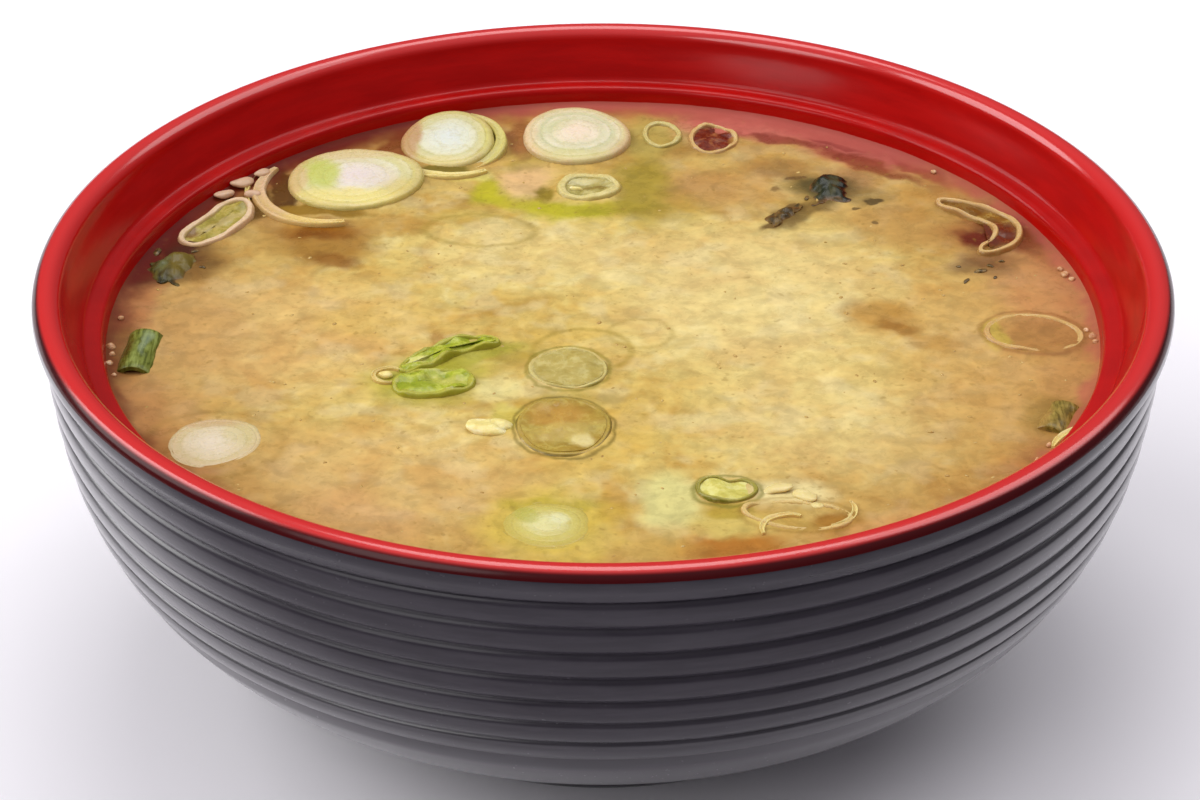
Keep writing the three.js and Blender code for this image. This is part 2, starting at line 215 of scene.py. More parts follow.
def changed(piece, kind, **settings):
    """Adds a modifier and applies it."""
    pick_up(piece)
    bpy.ops.object.modifier_add(type=kind)
    change = piece.modifiers[-1]
    for name, value in settings.items():
        setattr(change, name, value)
    bpy.ops.object.modifier_apply(modifier=change.name)
    return piece


def settled(piece, place):
    """Puts a piece in its place, and its place into its mesh."""
    piece.matrix_world = place
    pick_up(piece)
    bpy.ops.object.transform_apply(location=True, rotation=True, scale=True)
    return piece


def smoothed(piece, angle=40):
    pick_up(piece)
    bpy.ops.object.shade_smooth_by_angle(angle=math.radians(angle))
    return piece


def roughened(piece, strength, size):
    """Pushes the surface in and out a little, in soft lumps of that size in millimetres."""
    lumps = bpy.data.textures.new(piece.name + "_lumps", "CLOUDS")
    lumps.noise_scale = size * MM
    return changed(piece, "DISPLACE", texture=lumps, texture_coords="LOCAL", strength=strength * MM)


def laid(piece, x, y, lift, turn=0, tilt_x=0, tilt_y=0):
    """Puts a piece made about the origin in its place in the soup."""
    place = moved(x, y, SOUP_LEVEL + lift)
    for angle, axis in ((tilt_x, "X"), (tilt_y, "Y"), (turn, "Z")):
        place = place @ swung(angle, axis)
    return settled(piece, place)


def joined(name, pieces):
    """Unites pieces that run into each other."""
    first, *others = pieces
    for other in others:
        changed(first, "BOOLEAN", operation="UNION", solver="EXACT", object=other)
        bpy.data.objects.remove(other)
    first.name = name
    return first


def put_together(first, *others):
    """Makes one object of pieces that touch, each with its own finish."""
    put_down()
    for piece in (first, *others):
        piece.select_set(True)
    bpy.context.view_layer.objects.active = first
    bpy.ops.object.join()
    return first


def painted(piece, finish):
    piece.data.materials.clear()
    piece.data.materials.append(finish)
    return piece


def rippled(piece, rise, size, seed):
    """Lifts and sinks a piece here and there, in waves of that size in millimetres."""
    for point in piece.data.vertices:
        x, y = point.co.x / MM / size, point.co.y / MM / size
        point.co.z += rise * MM * noise.noise(Vector((x, y, seed)))
    return piece


def finished(piece, slot, *nodes):
    """The piece rides on the root body and stands for its nodes."""
    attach(piece, "root")
    if nodes:
        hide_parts(*nodes)
    return piece


# ---- Outlines: the point at a share of the way round, counter-clockwise, in by so many millimetres ----


def oval(length, width, wander=0.04, phase=0.0, notch=0.0):
    """An uneven oval with a wall of even width. A notch dents its far side."""

    def at(share, in_by):
        angle = 2 * math.pi * (share % 1)
        wave = math.sin(2 * angle + phase) + 0.6 * math.sin(3 * angle + 2.3 * phase)
        dent = notch * math.exp(-(((angle - math.pi / 2) / 0.5) ** 2))
        reach = 1 + wander * wave - dent
        along, aside = (length / 2 - in_by) * reach, (width / 2 - in_by) * reach
        return along * math.cos(angle), aside * math.sin(angle)

    return at


def folded(length, width, bend=0.0, bend_at=0.5, bend_span=0.6):
    """A ring pressed flat and bent by so many degrees at a share of its length."""
    pieces = 60

    def heading(u):
        return math.radians(bend) * smooth((u - bend_at + bend_span / 2) / bend_span)

    line = [Vector((0, 0))]
    for i in range(pieces):
        way = heading((i + 0.5) / pieces)
        line.append(line[i] + Vector((math.cos(way), math.sin(way))) * (length / pieces))
    middle = (line[0] + line[-1]) / 2

    def at(share, in_by):
        angle = 2 * math.pi * share + math.pi
        u = 0.5 + (0.5 - in_by / length) * math.cos(angle)
        spot = min(pieces - 1, int(u * pieces))
        centre = line[spot].lerp(line[spot + 1], u * pieces - spot)
        aside = (width / 2 - in_by) * math.sin(angle) * math.sqrt(1 + math.cos(angle) ** 2)
        way = heading(u)
        place = centre + Vector((-math.sin(way), math.cos(way))) * aside - middle
        return place.x, place.y

    return at


def curl(radius, wall, start, end):
    """The strip between two arcs, pointed at both ends."""

    def at(share, in_by):
        share = share % 1
        side, t = (1, 2 * share) if share < 0.5 else (-1, 2 - 2 * share)
        ease = 0.5 - (0.5 - 0.6 * in_by / (math.radians(end - start) * radius)) * math.cos(math.pi * t)
        angle = math.radians(start + (end - start) * ease)
        half = max(0, wall / 2 - in_by) * math.sin(math.pi * (0.12 + 0.76 * ease))
        reach = radius + side * half
        return reach * math.cos(angle), reach * math.sin(angle)

    return at


def disc(length, width, wander=0.02, phase=0.0):
    """A round cut that keeps its proportions at every layer."""

    def at(share, in_by):
        angle = 2 * math.pi * share
        reach = 1 + wander * math.sin(2 * angle + phase) + wander * math.sin(3 * angle + 2 * phase)
        radius = (length / 2 - in_by) * reach
        return radius * math.cos(angle), radius * math.sin(angle) * width / length

    return at


# ---- The bowl ----


def curve_radius(radius, depth, fullness, z):
    return radius * math.sqrt(max(0, 1 - ((WALL_TOP - z) / depth) ** fullness))


def wall_radius(z):
    flare = FLARE * math.exp((z - WALL_TOP) / FLARE_REACH)
    return curve_radius(WALL_RADIUS, WALL_DEPTH, WALL_FULLNESS, z) + flare


def hollow_radius(z, inset=0.0):
    return curve_radius(HOLLOW_RADIUS - inset, HOLLOW_DEPTH - inset, HOLLOW_FULLNESS, z)


def outer_profile():
    """From the middle of the recess out over the foot ring and up the ribbed wall."""
    foot = [
        (0, RECESS), (FOOT_INSIDE - 1.2, RECESS), (FOOT_INSIDE - 0.5, RECESS - 0.3),
        (FOOT_INSIDE - 0.1, 0.4), (FOOT_INSIDE + 0.3, 0.05), (FOOT_INSIDE + 0.7, 0),
        (FOOT_RADIUS - 0.7, 0), (FOOT_RADIUS - 0.25, 0.1), (FOOT_RADIUS, 0.45),
        (FOOT_RADIUS - 0.1, 1.2), (FOOT_RADIUS - FOOT_TAPER, FOOT_HEIGHT - 0.4),
        (FOOT_RADIUS - FOOT_TAPER + 0.1, FOOT_HEIGHT),
    ]
    lowest = RIB_TOP - (RIB_COUNT - 1) * RIB_PITCH
    start = FOOT_HEIGHT + 0.3
    heights = [start + (lowest - start) * t**1.5 for t in spread(0, 1, 22)[:-1]]
    under = [(wall_radius(z), z) for z in heights]
    ribs = []
    for rib in range(RIB_COUNT - 1, 0, -1):
        low = RIB_TOP - rib * RIB_PITCH
        for t in RIB_STEPS:
            z = low + t * RIB_PITCH
            away = abs(t - 0.5) / 0.5
            dip = away**2 if t < 0.5 else away ** (2 * RIB_SHOULDER)
            ribs.append((wall_radius(z) - RIB_DEPTH * dip, z))
    for rise, depth in ((0, 1), (0.15, 0.62), (0.45, 0.3), (0.9, 0.12)):
        ribs.append((wall_radius(RIB_TOP + rise) - RIB_DEPTH * depth, RIB_TOP + rise))
    return foot + under + ribs


def lip_profile():
    height = LIP_TOP - LIP_RADIUS
    angles = spread(LIP_START, COAT_BORDER, 7) + spread(COAT_BORDER, LIP_END, 17)[1:]
    return [
        (LIP_CENTRE + LIP_RADIUS * math.cos(a), height + LIP_RADIUS * math.sin(a))
        for a in map(math.radians, angles)
    ]


def inner_profile():
    """From below the lip down the short wall, over the low step, and down the hollow to its middle."""
    wall = [(56.88, 44.72), (56.72, 44.25), (56.5, 43.7), (56.22, 43.15), (55.78, 42.2), (55.4, 41.4)]
    step = [  # out from the step's edge, up from its top
        (0.72, 0.62), (0.58, 0.3), (0.4, 0.12), (0.15, 0.04), (-0.5, 0), (-1.0, -0.05), (-1.22, -0.16),
        (-1.36, -0.38), (-1.46, -0.75), (-1.52, -1.2),
    ]
    step = [(LEDGE_RADIUS + out, LEDGE_TOP + up) for out, up in step]
    floor = WALL_TOP - HOLLOW_DEPTH
    brim = LEDGE_TOP - 1.7
    levels = [floor + (brim - floor) * t**2.2 for t in spread(1, 0, 40)]
    return wall + step + [(hollow_radius(z), z) for z in levels]


def make_bowl(black, red):
    """One turned body. Its faces take the black coat outside and the red one inside and on the lip."""
    outside, lip, inside = outer_profile(), lip_profile(), inner_profile()
    bowl = turned("lacquer_bowl", outside + lip + inside, BOWL_STEPS)
    border = LIP_TOP - LIP_RADIUS + LIP_RADIUS * math.sin(math.radians(COAT_BORDER))
    bowl.data.materials.append(black)
    bowl.data.materials.append(red)
    for face in bowl.data.polygons:
        radius = math.hypot(face.center.x, face.center.y) / MM
        height = face.center.z / MM
        if height > RIB_TOP + 1:
            inner = radius < LIP_CENTRE or height > border
        else:
            inner = radius < wall_radius(height) - LEAST_WALL and height > RECESS + 0.5
        face.material_index = int(inner)
    smoothed(bowl, 32)
    return finished(bowl, "lacquer", "bowl")


# ---- What floats: where it is and how it was cut ----

RING_HEIGHT, SLICE_HEIGHT = 2.4, 3.0

SLICES = {
    "slice_rear_left": dict(
        cut=disc(15.6, 14, phase=0.6), size=15.6, x=-28.5, y=32.2, lift=1.1, turn=8, tilt_x=2
    ),
    "slice_rear": dict(
        cut=disc(10.8, 12, phase=2), size=10.8, x=-18.2, y=41.7, lift=1.3, tilt_x=8, tilt_y=-3
    ),
    "slice_rear_middle": dict(cut=disc(12.9, 13.2, phase=4), size=12.9, x=-3.2, y=43.2, lift=1.2, tilt_x=2),
    "slice_front_left": dict(
        cut=disc(10.4, 9.8, phase=1.2), size=10.4, x=-39.2, y=-24.6, lift=0.3, turn=35, tilt_x=1
    ),
    "slice_front": dict(cut=disc(10.2, 9.6, phase=3), size=10.2, x=-5.4, y=-39.5, lift=0.2, turn=10),
}

RINGS = {
    "ring_rear_small": dict(cut=oval(7.4, 7.2, phase=1), wall=1.4, x=-1.7, y=31, lift=0.5),
    "ring_left": dict(cut=folded(11.6, 5, bend=25), wall=1.0, x=-43.9, y=22, lift=0.8, turn=45, tilt_x=4),
    "ring_middle": dict(cut=oval(8.4, 9, phase=2), wall=1.1, x=-3.6, y=-9.8, lift=0.3, turn=5),
    "ring_middle_front": dict(
        cut=oval(10, 11.6, phase=0.4, wander=0.03), wall=1.3, x=-4, y=-21.6, lift=0.35, turn=12
    ),
    "ring_front_folded": dict(
        cut=oval(6.4, 5.2, notch=0.42, wander=0.02), wall=0.7, x=12.2, y=-33.3, lift=0.5, turn=-8
    ),
    "ring_front_right": dict(
        cut=oval(11, 5.6, phase=2.6, wander=0.06), wall=0.9, x=19, y=-37.9, lift=0.3, turn=-6
    ),
    "ring_right": dict(cut=oval(10.6, 8.6, phase=0.9), wall=1.0, x=45.7, y=-2.3, lift=0.25, turn=-12),
    "ring_rear_right": dict(
        cut=folded(17.6, 3.6, bend=-104, bend_at=0.62), wall=0.9, x=39.7, y=21.2, lift=0.7, turn=-36
    ),
    "ring_rear_inner": dict(
        cut=oval(4.8, 7, phase=0.7, wander=0.05), wall=0.9, x=6.9, y=44.2, lift=0.5, turn=10
    ),
    "ring_rear_outer": dict(
        cut=oval(6.2, 7.6, phase=3.1, wander=0.06), wall=0.9, x=12.9, y=43.2, lift=0.5, turn=-15
    ),
}

TUBES = {
    "green_tube_left": dict(across=4, high=3.2, long=8, wall=0.7, x=-48.8, y=-6.8, lift=1, turn=-4),
    "green_tube_right": dict(across=3.6, high=2.8, long=5.6, wall=0.7, x=46.4, y=-19.6, lift=0.7, turn=-24),
}

LEAVES = {
    "wakame_rear": dict(length=8.6, width=5.6, phase=0.5, wave=0.35, x=25.9, y=31, lift=0.9, turn=70),
    "wakame_rear_strand": dict(
        length=6.4, width=2.2, phase=1.7, wave=0.2, x=20.4, y=24.4, lift=0.6, turn=52
    ),
    "wakame_left": dict(length=7.6, width=5.2, phase=2.4, wave=0.35, x=-47.4, y=12.2, lift=0.9, turn=74),
}

FILMS = {  # thin skins inside rings: width across, height above the soup, wave
    "ring_rear_small": (7.2, 0.32, 0.16),
    "ring_left": (5, 0.5, 0.26),
    "ring_middle": (8.4, 0.3, 0.06),
    "ring_middle_front": (10, 0.38, 0.06),
    "ring_front_folded": (5.2, 0.34, 0.12),
    "ring_rear_right": (3.6, 0.4, 0.25),
    "ring_rear_outer": (6.2, 0.22, 0.2),
}

# Small bits that lie on the soup: place, length, width, thickness, turn in degrees and lift
ONION_BITS = [
    (-11.5, -21.5, 4.6, 3, 1.1, 6, 0.06),
    (-10.4, -21.2, 2.4, 2, 1, -20, 0.1),
    (-41.4, 31.4, 3.2, 1.8, 1, 48, 0.55),
    (-43.2, 28.6, 2.4, 1.4, 0.9, 40, 0.5),
    (-39.3, 33.9, 2.4, 1.1, 0.8, 50, 0.5),
    (-40, 28.9, 1.8, 1.2, 0.8, 20, 0.4),
    (17.2, -33.2, 3, 1.7, 0.6, 10, 0.16),
    (19.8, -34.4, 3.2, 1.9, 0.7, -30, 0.14),
    (21, -36.2, 1.2, 1.1, 0.6, 0, 0.1),
    (-22.6, -11.2, 1.6, 1.1, 0.7, 15, 0.2),
    (-3, 30.2, 1.6, 0.6, 0.6, -10, 0.3),
]
SEAWEED_BITS = [
    (41.4, 11.4, 1.5, 0.8, 0.35, 20, 0.06),
    (42.6, 12.6, 0.9, 0.5, 0.28, -40, 0.05),
    (39.7, 9.2, 1.1, 0.45, 0.28, 60, 0.04),
    (44, 13.6, 0.7, 0.4, 0.28, 10, 0.05),
    (39.1, 12.4, 0.6, 0.4, 0.24, -20, 0.05),
    (42.9, 9.9, 0.7, 0.35, 0.24, 70, 0.04),
    (23.2, 28.6, 1.1, 0.5, 0.28, 80, 0.06),
    (-49.4, 15.6, 1.6, 0.8, 0.35, 80, 0.12),
    (-45.3, 15.8, 1, 0.5, 0.28, 30, 0.07),
    (-44.1, 12.2, 0.9, 0.5, 0.28, -30, 0.05),
]
CURVED_BITS = [  # thin strips of onion: arc radius, width, from, to, x, y and lift
    (7.4, 1.5, -142, -56, -17.6, 41.2, 0.42),
    (1.5, 0.6, 40, 300, -22.4, -11.2, 0.25),
    (2.6, 0.9, 60, 200, 18, -40.4, 0.3),
    (3, 0.8, -80, 30, 21.6, -36.8, 0.26),
    (5.6, 1, 105, 165, 50.6, -27, 0.4),
    (9.9, 0.6, 150, 205, -30.9, 30.5, 0.25),
]
BUBBLES = [  # place and radius
    (50.6, 10.4, 0.5), (51.2, 9.3, 0.35), (50.2, 11.6, 0.3), (51.9, -3.2, 0.45), (52.1, -4.4, 0.3),
    (51.4, -1.9, 0.3), (-51.9, -5.6, 0.5), (-51.6, -7.1, 0.35), (-51.7, -9, 0.45), (-50.9, -11.4, 0.3),
    (-51.6, 0.6, 0.3), (38.2, 34.8, 0.3), (44.9, -25, 0.3), (43.4, -27.8, 0.25),
]


def place_of(spec):
    return {key: spec[key] for key in ("x", "y", "lift", "turn", "tilt_x", "tilt_y") if key in spec}


# Where the layers of a slice meet, and how deep the groove between them is
LAYERS = ((0.17, 0.06), (0.35, 0.035), (0.54, 0.03), (0.72, 0.025))


def make_slice(name, spec):
    """A solid slice: a soft edge, a slightly domed face and faint grooves where its layers meet."""
    radius = spec["size"] / 2
    loops = [
        (0.7, -SLICE_HEIGHT), (0.2, -SLICE_HEIGHT + 0.15), (0, -SLICE_HEIGHT + 0.6), (-0.02, -1.6),
        (0, -0.85), (0.07, -0.56), (0.2, -0.36), (0.38, -0.25),
    ]
    stops = {round(share, 3) for share in spread(0.11, 0.93, 9)}
    for at, _ in LAYERS:
        stops |= {round(at + off, 3) for off in (-0.034, -0.014, 0, 0.014, 0.034)}
    for share in sorted(stops):
        groove = sum(depth * math.exp(-(((share - at) / 0.016) ** 2)) for at, depth in LAYERS)
        loops.append((share * radius, -0.22 + 0.36 * share**0.8 - groove))
    return looped(name + "_onion", spec["cut"], loops, 96, hollow=False)


def make_ring(name, cut, wall, height=RING_HEIGHT):
    """A ring cut from an onion's layers, with a low crest that slopes into the broth on both sides."""
    loops = [
        (0.1, -height), (0, -height + 0.25), (-0.02, -height / 2), (0, -0.66), (0.05 * wall, -0.42),
        (0.13 * wall, -0.2), (0.22 * wall, -0.06), (0.33 * wall, 0.0), (0.46 * wall, -0.05),
        (0.58 * wall, -0.05), (0.7 * wall, -0.02), (0.8 * wall, -0.1), (0.9 * wall, -0.26),
        (0.96 * wall, -0.45), (wall, -0.7), (wall, -height + 0.25), (wall - 0.1, -height),
    ]
    return looped(name + "_onion", cut, loops, 112, hollow=True)


def make_strip(name, cut, wall, height=RING_HEIGHT):
    """A strip of one layer, with a rounded rim."""
    loops = [
        (0.2 * wall, -height), (0, -height + 0.3), (0, -0.4), (0.05 * wall, -0.14),
        (0.13 * wall, 0.0), (0.22 * wall, 0.0), (0.32 * wall, -0.1), (0.46 * wall, -0.14),
    ]
    return looped(name + "_onion", cut, loops, 112, hollow=False)


def make_film(name, cut, width, wall, height, wave, seed):
    """The thin skin that spans the inside of a ring, a little wavy, with its rim under the ring."""
    rim = wall * 0.55
    loops = [(t, 0) for t in (0, 0.12, 0.26, 0.4, 0.54, 0.68, 0.82, 0.93)]
    sheet = looped_sheet(name + "_film", lambda share, t: cut(share, rim + t * (width / 2 - rim)), loops, 80)
    for point in sheet.data.vertices:
        x, y = point.co.x / MM, point.co.y / MM
        point.co.z = (height + wave * noise.noise(Vector((x * 0.8, y * 0.8, seed)))) * MM
    return changed(sheet, "SOLIDIFY", thickness=0.12 * MM, offset=-1)


def make_tube(name, across, high, long, wall):
    """A short length of leaf tube, cut square at both ends, that lies on its side."""
    half = long / 2
    loops = [(0.12, -half), (0, -half + 0.2)]
    loops += [(0.05 * math.sin(7 * t), -half + 0.2 + (long - 0.4) * t) for t in spread(0.1, 0.9, 9)]
    loops += [(0, half - 0.2), (0.12, half), (wall - 0.1, half), (wall, half - 0.2), (wall, -half + 0.2)]
    loops += [(wall - 0.1, -half)]
    piece = looped(name + "_leaf", oval(across, high, wander=0.03, phase=1), loops, 72, hollow=True)
    return settled(piece, moved(0, 0, -high / 2) @ swung(90, "X"))


def make_leaf(name, length, width, phase, wave):
    """A thin wavy leaf with a torn rim."""

    def rim(share, in_by):
        angle = 2 * math.pi * share
        edge = 1 - in_by
        torn = noise.noise(Vector((2.2 * math.cos(angle), 2.2 * math.sin(angle), phase)))
        torn += 0.5 * noise.noise(Vector((6 * math.cos(angle), 6 * math.sin(angle), phase + 3)))
        reach = (1 + 0.1 * math.sin(3 * angle + phase) + 0.34 * torn * edge) * edge
        return length / 2 * reach * math.cos(angle), width / 2 * reach * math.sin(angle)

    loops = [(t, 0) for t in (0, 0.04, 0.1, 0.18, 0.28, 0.4, 0.52, 0.64, 0.78, 0.9)]
    piece = looped_sheet(name + "_leaf", rim, loops, 96)
    for point in piece.data.vertices:
        x, y = point.co.x / MM, point.co.y / MM
        height = wave * math.sin(1.1 * x + phase) * math.cos(0.9 * y - phase)
        height += 0.28 * noise.noise(Vector((x * 1.1, y * 1.1, phase)))
        outwards = math.hypot(2 * x / length, 2 * y / width)
        height -= 0.17 * min(length, width) * smooth((outwards - 0.35) / 0.65)
        point.co.z = height * MM
    changed(piece, "SOLIDIFY", thickness=0.35 * MM, offset=-1)
    return changed(piece, "SUBSURF", levels=1, render_levels=1)


def make_bits(name, table, seed, subdivisions=2, sag=0.5):
    """Small soft lumps that lie half sunk: place, length, width, thickness, turn in degrees and lift."""
    chance = random.Random(seed)
    put_down()
    bpy.ops.mesh.primitive_ico_sphere_add(subdivisions=subdivisions, radius=0.5 * MM)
    model = bpy.context.object
    bits = []
    for x, y, length, width, thick, turn, lift in table:
        bit = model.copy()
        bit.data = model.data.copy()
        bpy.context.collection.objects.link(bit)
        off = chance.random() * 50
        for point in bit.data.vertices:
            lump = 1 + 0.35 * noise.noise(point.co / MM * 1.6 + Vector((off, off, 0)))
            point.co = Vector((point.co.x * length, point.co.y * width, point.co.z * thick)) * lump
            point.co.z -= sag * abs(point.co.x) * point.co.x / MM * (1 if off > 25 else -1) * 0.2
        bit.matrix_world = moved(x, y, SOUP_LEVEL + lift) @ swung(turn, "Z")
        bits.append(bit)
    bpy.data.objects.remove(model)
    put_down()
    for bit in bits:
        bit.select_set(True)
    bpy.context.view_layer.objects.active = bits[0]
    bpy.ops.object.transform_apply(location=True, rotation=True, scale=True)
    bpy.ops.object.join()
    bits[0].name = name
    return bits[0]


# ---- The soup ----


def round_spot(x, y):
    """A point of the square from -1 to 1, moved so that the square's sides lie on the unit circle."""
    if x == 0 and y == 0:
        return 0.0, 0.0
    if abs(x) > abs(y):
        return x * math.cos(math.pi / 4 * y / x), x * math.sin(math.pi / 4 * y / x)
    return y * math.sin(math.pi / 4 * x / y), y * math.cos(math.pi / 4 * x / y)


def shorelines():
    """Points along every edge that the soup creeps up on, at its level."""
    edges = [(spec, spec["cut"], (0.0,)) for spec in SLICES.values()]
    edges += [(spec, spec["cut"], (0.0, spec["wall"])) for spec in RINGS.values()]
    lines = [
        (spec, [cut(i / 160, in_by) for i in range(160)])
        for spec, cut, insets in edges
        for in_by in insets
    ]
    lines += [
        (spec, [(side * spec["across"] * 0.45, spec["long"] * (i / 59 - 0.5)) for i in range(60)])
        for spec in TUBES.values()
        for side in (-1, 1)
    ]
    points = []
    for spec, line in lines:
        turn = math.radians(spec.get("turn", 0))
        for x, y in line:
            along = x * math.cos(turn) - y * math.sin(turn)
            aside = x * math.sin(turn) + y * math.cos(turn)
            points.append((spec["x"] + along, spec["y"] + aside))
    return points


def make_soup(broth):
    """A fine surface that swells, creeps up on all it meets, and fills the hollow below."""
    put_down()
    bpy.ops.mesh.primitive_grid_add(x_subdivisions=SOUP_GRID, y_subdivisions=SOUP_GRID, size=2)
    soup = bpy.context.object
    soup.name = "miso_broth"
    edge = SOUP_LEVEL + SOUP_CLIMB
    reach = hollow_radius(edge) + 0.04
    shores = shorelines()
    near = kdtree.KDTree(len(shores))
    for i, (x, y) in enumerate(shores):
        near.insert((x, y, 0), i)
    near.balance()
    for point in soup.data.vertices:
        x, y = round_spot(point.co.x, point.co.y)
        x, y = x * reach, y * reach
        radius = math.hypot(x, y)
        height = SOUP_LEVEL + SOUP_CLIMB * math.exp((radius - reach) / CLIMB_WIDTH)
        for rise, width, seed in SOUP_WAVES:
            height += rise * noise.noise(Vector((x / width, y / width, seed)))
        _, _, gap = near.find((x, y, 0))
        height += CREEP * math.exp(-gap / CREEP_WIDTH)
        point.co = (x * MM, y * MM, height * MM)
    edit(soup)
    bpy.ops.mesh.select_all(action="DESELECT")
    bpy.ops.mesh.select_non_manifold(extend=False)
    floor = WALL_TOP - HOLLOW_DEPTH + 0.3
    levels = [floor + (edge - 0.6 - floor) * t**2.2 for t in spread(1, 0, 16)]
    last_radius, last_z = reach, edge
    for number, z in enumerate(levels):
        radius = hollow_radius(z, 0.3 if number else 0.05)
        if radius < 1:
            break
        bpy.ops.mesh.extrude_region_move(TRANSFORM_OT_translate={"value": (0, 0, (z - last_z) * MM)})
        share = radius / last_radius
        bpy.ops.transform.resize(value=(share, share, 1), center_override=(0, 0, 0))
        last_radius, last_z = radius, z
    bpy.ops.mesh.extrude_region_move()
    bpy.ops.mesh.merge(type="CENTER")
    close_up(soup)
    smoothed(soup, 60)
    return finished(painted(soup, broth), "miso", "soup")


# ---- Wiring of materials ----


class Wiring:
    """The nodes of one material or group, added one by one."""

    def __init__(self, tree):
        self.tree = tree

    def add(self, kind, settings=None, **inputs):
        made = self.tree.nodes.new("ShaderNode" + kind)
        for name, value in (settings or {}).items():
            setattr(made, name, value)
        for name, value in inputs.items():
            self.feed(made.inputs[name.replace("_", " ")], value)
        return made

    def feed(self, socket, value):
        if isinstance(value, bpy.types.NodeSocket):
            self.tree.links.new(value, socket)
        else:
            socket.default_value = value

    def maths(self, operation, *values, clamp=False):
        made = self.add("Math", {"operation": operation, "use_clamp": clamp})
        for socket, value in zip(made.inputs, values):
            self.feed(socket, value)
        return made.outputs[0]

    def vectors(self, operation, *values):
        made = self.add("VectorMath", {"operation": operation})
        for socket, value in zip(made.inputs, values):
            self.feed(socket, value)
        return made.outputs["Value" if operation in ("LENGTH", "DOT_PRODUCT", "DISTANCE") else "Vector"]

    def mixed(self, share, first, second):
        """Mixes colours. Those that aren't sockets are given as on a screen, 0 to 255."""
        made = self.add("Mix", {"data_type": "RGBA"})
        self.feed(made.inputs[0], share)
        for socket, colour in ((made.inputs[6], first), (made.inputs[7], second)):
            self.feed(socket, srgb(*colour) if isinstance(colour, tuple) else colour)
        return made.outputs[2]

    def eased(self, value, low, high, to_low=0.0, to_high=1.0, kind="SMOOTHSTEP"):
        made = self.add("MapRange", {"interpolation_type": kind})
        for socket, given in zip(made.inputs, (value, low, high, to_low, to_high)):
            self.feed(socket, given)
        return made.outputs[0]

    def cloud(self, where, size, detail=3.0, rough=0.55, twist=0.0):
        """Noise with features of that size in millimetres."""
        scale = 1 / (size * MM)
        made = self.add(
            "TexNoise", Vector=where, Scale=scale, Detail=detail, Roughness=rough, Distortion=twist
        )
        return made.outputs[0]

    def stops(self, value, *colours):
        made = self.add("ValToRGB", Fac=value)
        ramp = made.color_ramp
        while len(ramp.elements) < len(colours):
            ramp.elements.new(0.5)
        for element, (place, colour) in zip(ramp.elements, colours):
            element.position = place
            element.color = srgb(*colour)
        return made.outputs[0]

    def group(self, shared, **inputs):
        made = self.tree.nodes.new("ShaderNodeGroup")
        made.node_tree = shared
        for name, value in inputs.items():
            self.feed(made.inputs[name.replace("_", " ")], value)
        return made

    def place(self):
        return self.add("TexCoord").outputs["Object"]

    def bumped(self, body, strength, depth, height):
        bump = self.add("Bump", Strength=strength, Distance=depth * MM, Height=height)
        self.feed(body["Normal"], bump.outputs[0])


def new_group(name, inputs, outputs):
    shared = bpy.data.node_groups.new(name, "ShaderNodeTree")
    for label, kind, value in inputs:
        socket = shared.interface.new_socket(label, in_out="INPUT", socket_type="NodeSocket" + kind)
        if value is not None:
            socket.default_value = value
    for label, kind in outputs:
        shared.interface.new_socket(label, in_out="OUTPUT", socket_type="NodeSocket" + kind)
    given = shared.nodes.new("NodeGroupInput").outputs
    result = shared.nodes.new("NodeGroupOutput").inputs
    return shared, Wiring(shared), given, result


def new_finish(name):
    made = bpy.data.materials.new(name)
    made.use_nodes = True
    made.node_tree.nodes.clear()
    wiring = Wiring(made.node_tree)
    body = wiring.add("BsdfPrincipled")
    out = wiring.add("OutputMaterial")
    wiring.feed(out.inputs["Surface"], body.outputs[0])
    return made, wiring, body.inputs


def given_body(body, **values):
    """Sets what is the same all over a finish, on the shader's own sockets."""
    for name, value in values.items():
        body[name.replace("_", " ")].default_value = value


def spot_group():
    """A soft-edged oval spot at a place in the soup's plane, in millimetres."""
    shared, w, given, result = new_group(
        "soft_spot",
        [
            ("Where", "Vector", None),
            ("Centre", "Vector", (0.0, 0.0, 0.0)),
            ("Half size", "Vector", (1.0, 1.0, 1.0)),
            ("Turn", "Float", 0.0),
            ("Softness", "Float", 0.6),
            ("Ring", "Float", 0.0),
        ],
        [("Spot", "Float"), ("Line", "Float")],
    )
    off = w.vectors("SUBTRACT", given["Where"], given["Centre"])
    back = w.maths("MULTIPLY", given["Turn"], -1.0)
    spun = w.add("VectorRotate", {"rotation_type": "Z_AXIS"}, Vector=off, Angle=back)
    far = w.vectors("LENGTH", w.vectors("DIVIDE", spun.outputs[0], given["Half size"]))
    outer = w.maths("MULTIPLY_ADD", given["Softness"], 0.5, 1.0)
    inner = w.maths("MULTIPLY_ADD", given["Softness"], -0.5, 1.0)
    w.feed(result["Spot"], w.eased(far, outer, inner))
    off_line = w.maths("ABSOLUTE", w.maths("SUBTRACT", far, 1.0))
    w.feed(result["Line"], w.eased(off_line, given["Ring"], 0.0))
    return shared


def veil_group():
    """How much of a piece stands clear of the broth: 0 where it's under, 1 above. The edge is uneven."""
    shared, w, given, result = new_group(
        "broth_veil",
        [("Where", "Vector", None), ("Level", "Float", SOUP_LEVEL * MM), ("Depth", "Float", 0.5 * MM)],
        [("Clear", "Float")],
    )
    height = w.add("SeparateXYZ", Vector=given["Where"]).outputs["Z"]
    ragged = w.maths("MULTIPLY_ADD", w.cloud(given["Where"], 1.6, 2.0), 0.5 * MM, -0.25 * MM)
    above = w.maths("SUBTRACT", w.maths("ADD", height, ragged), given["Level"])
    w.feed(result["Clear"], w.eased(w.maths("DIVIDE", above, given["Depth"]), 0.0, 1.0))
    return shared


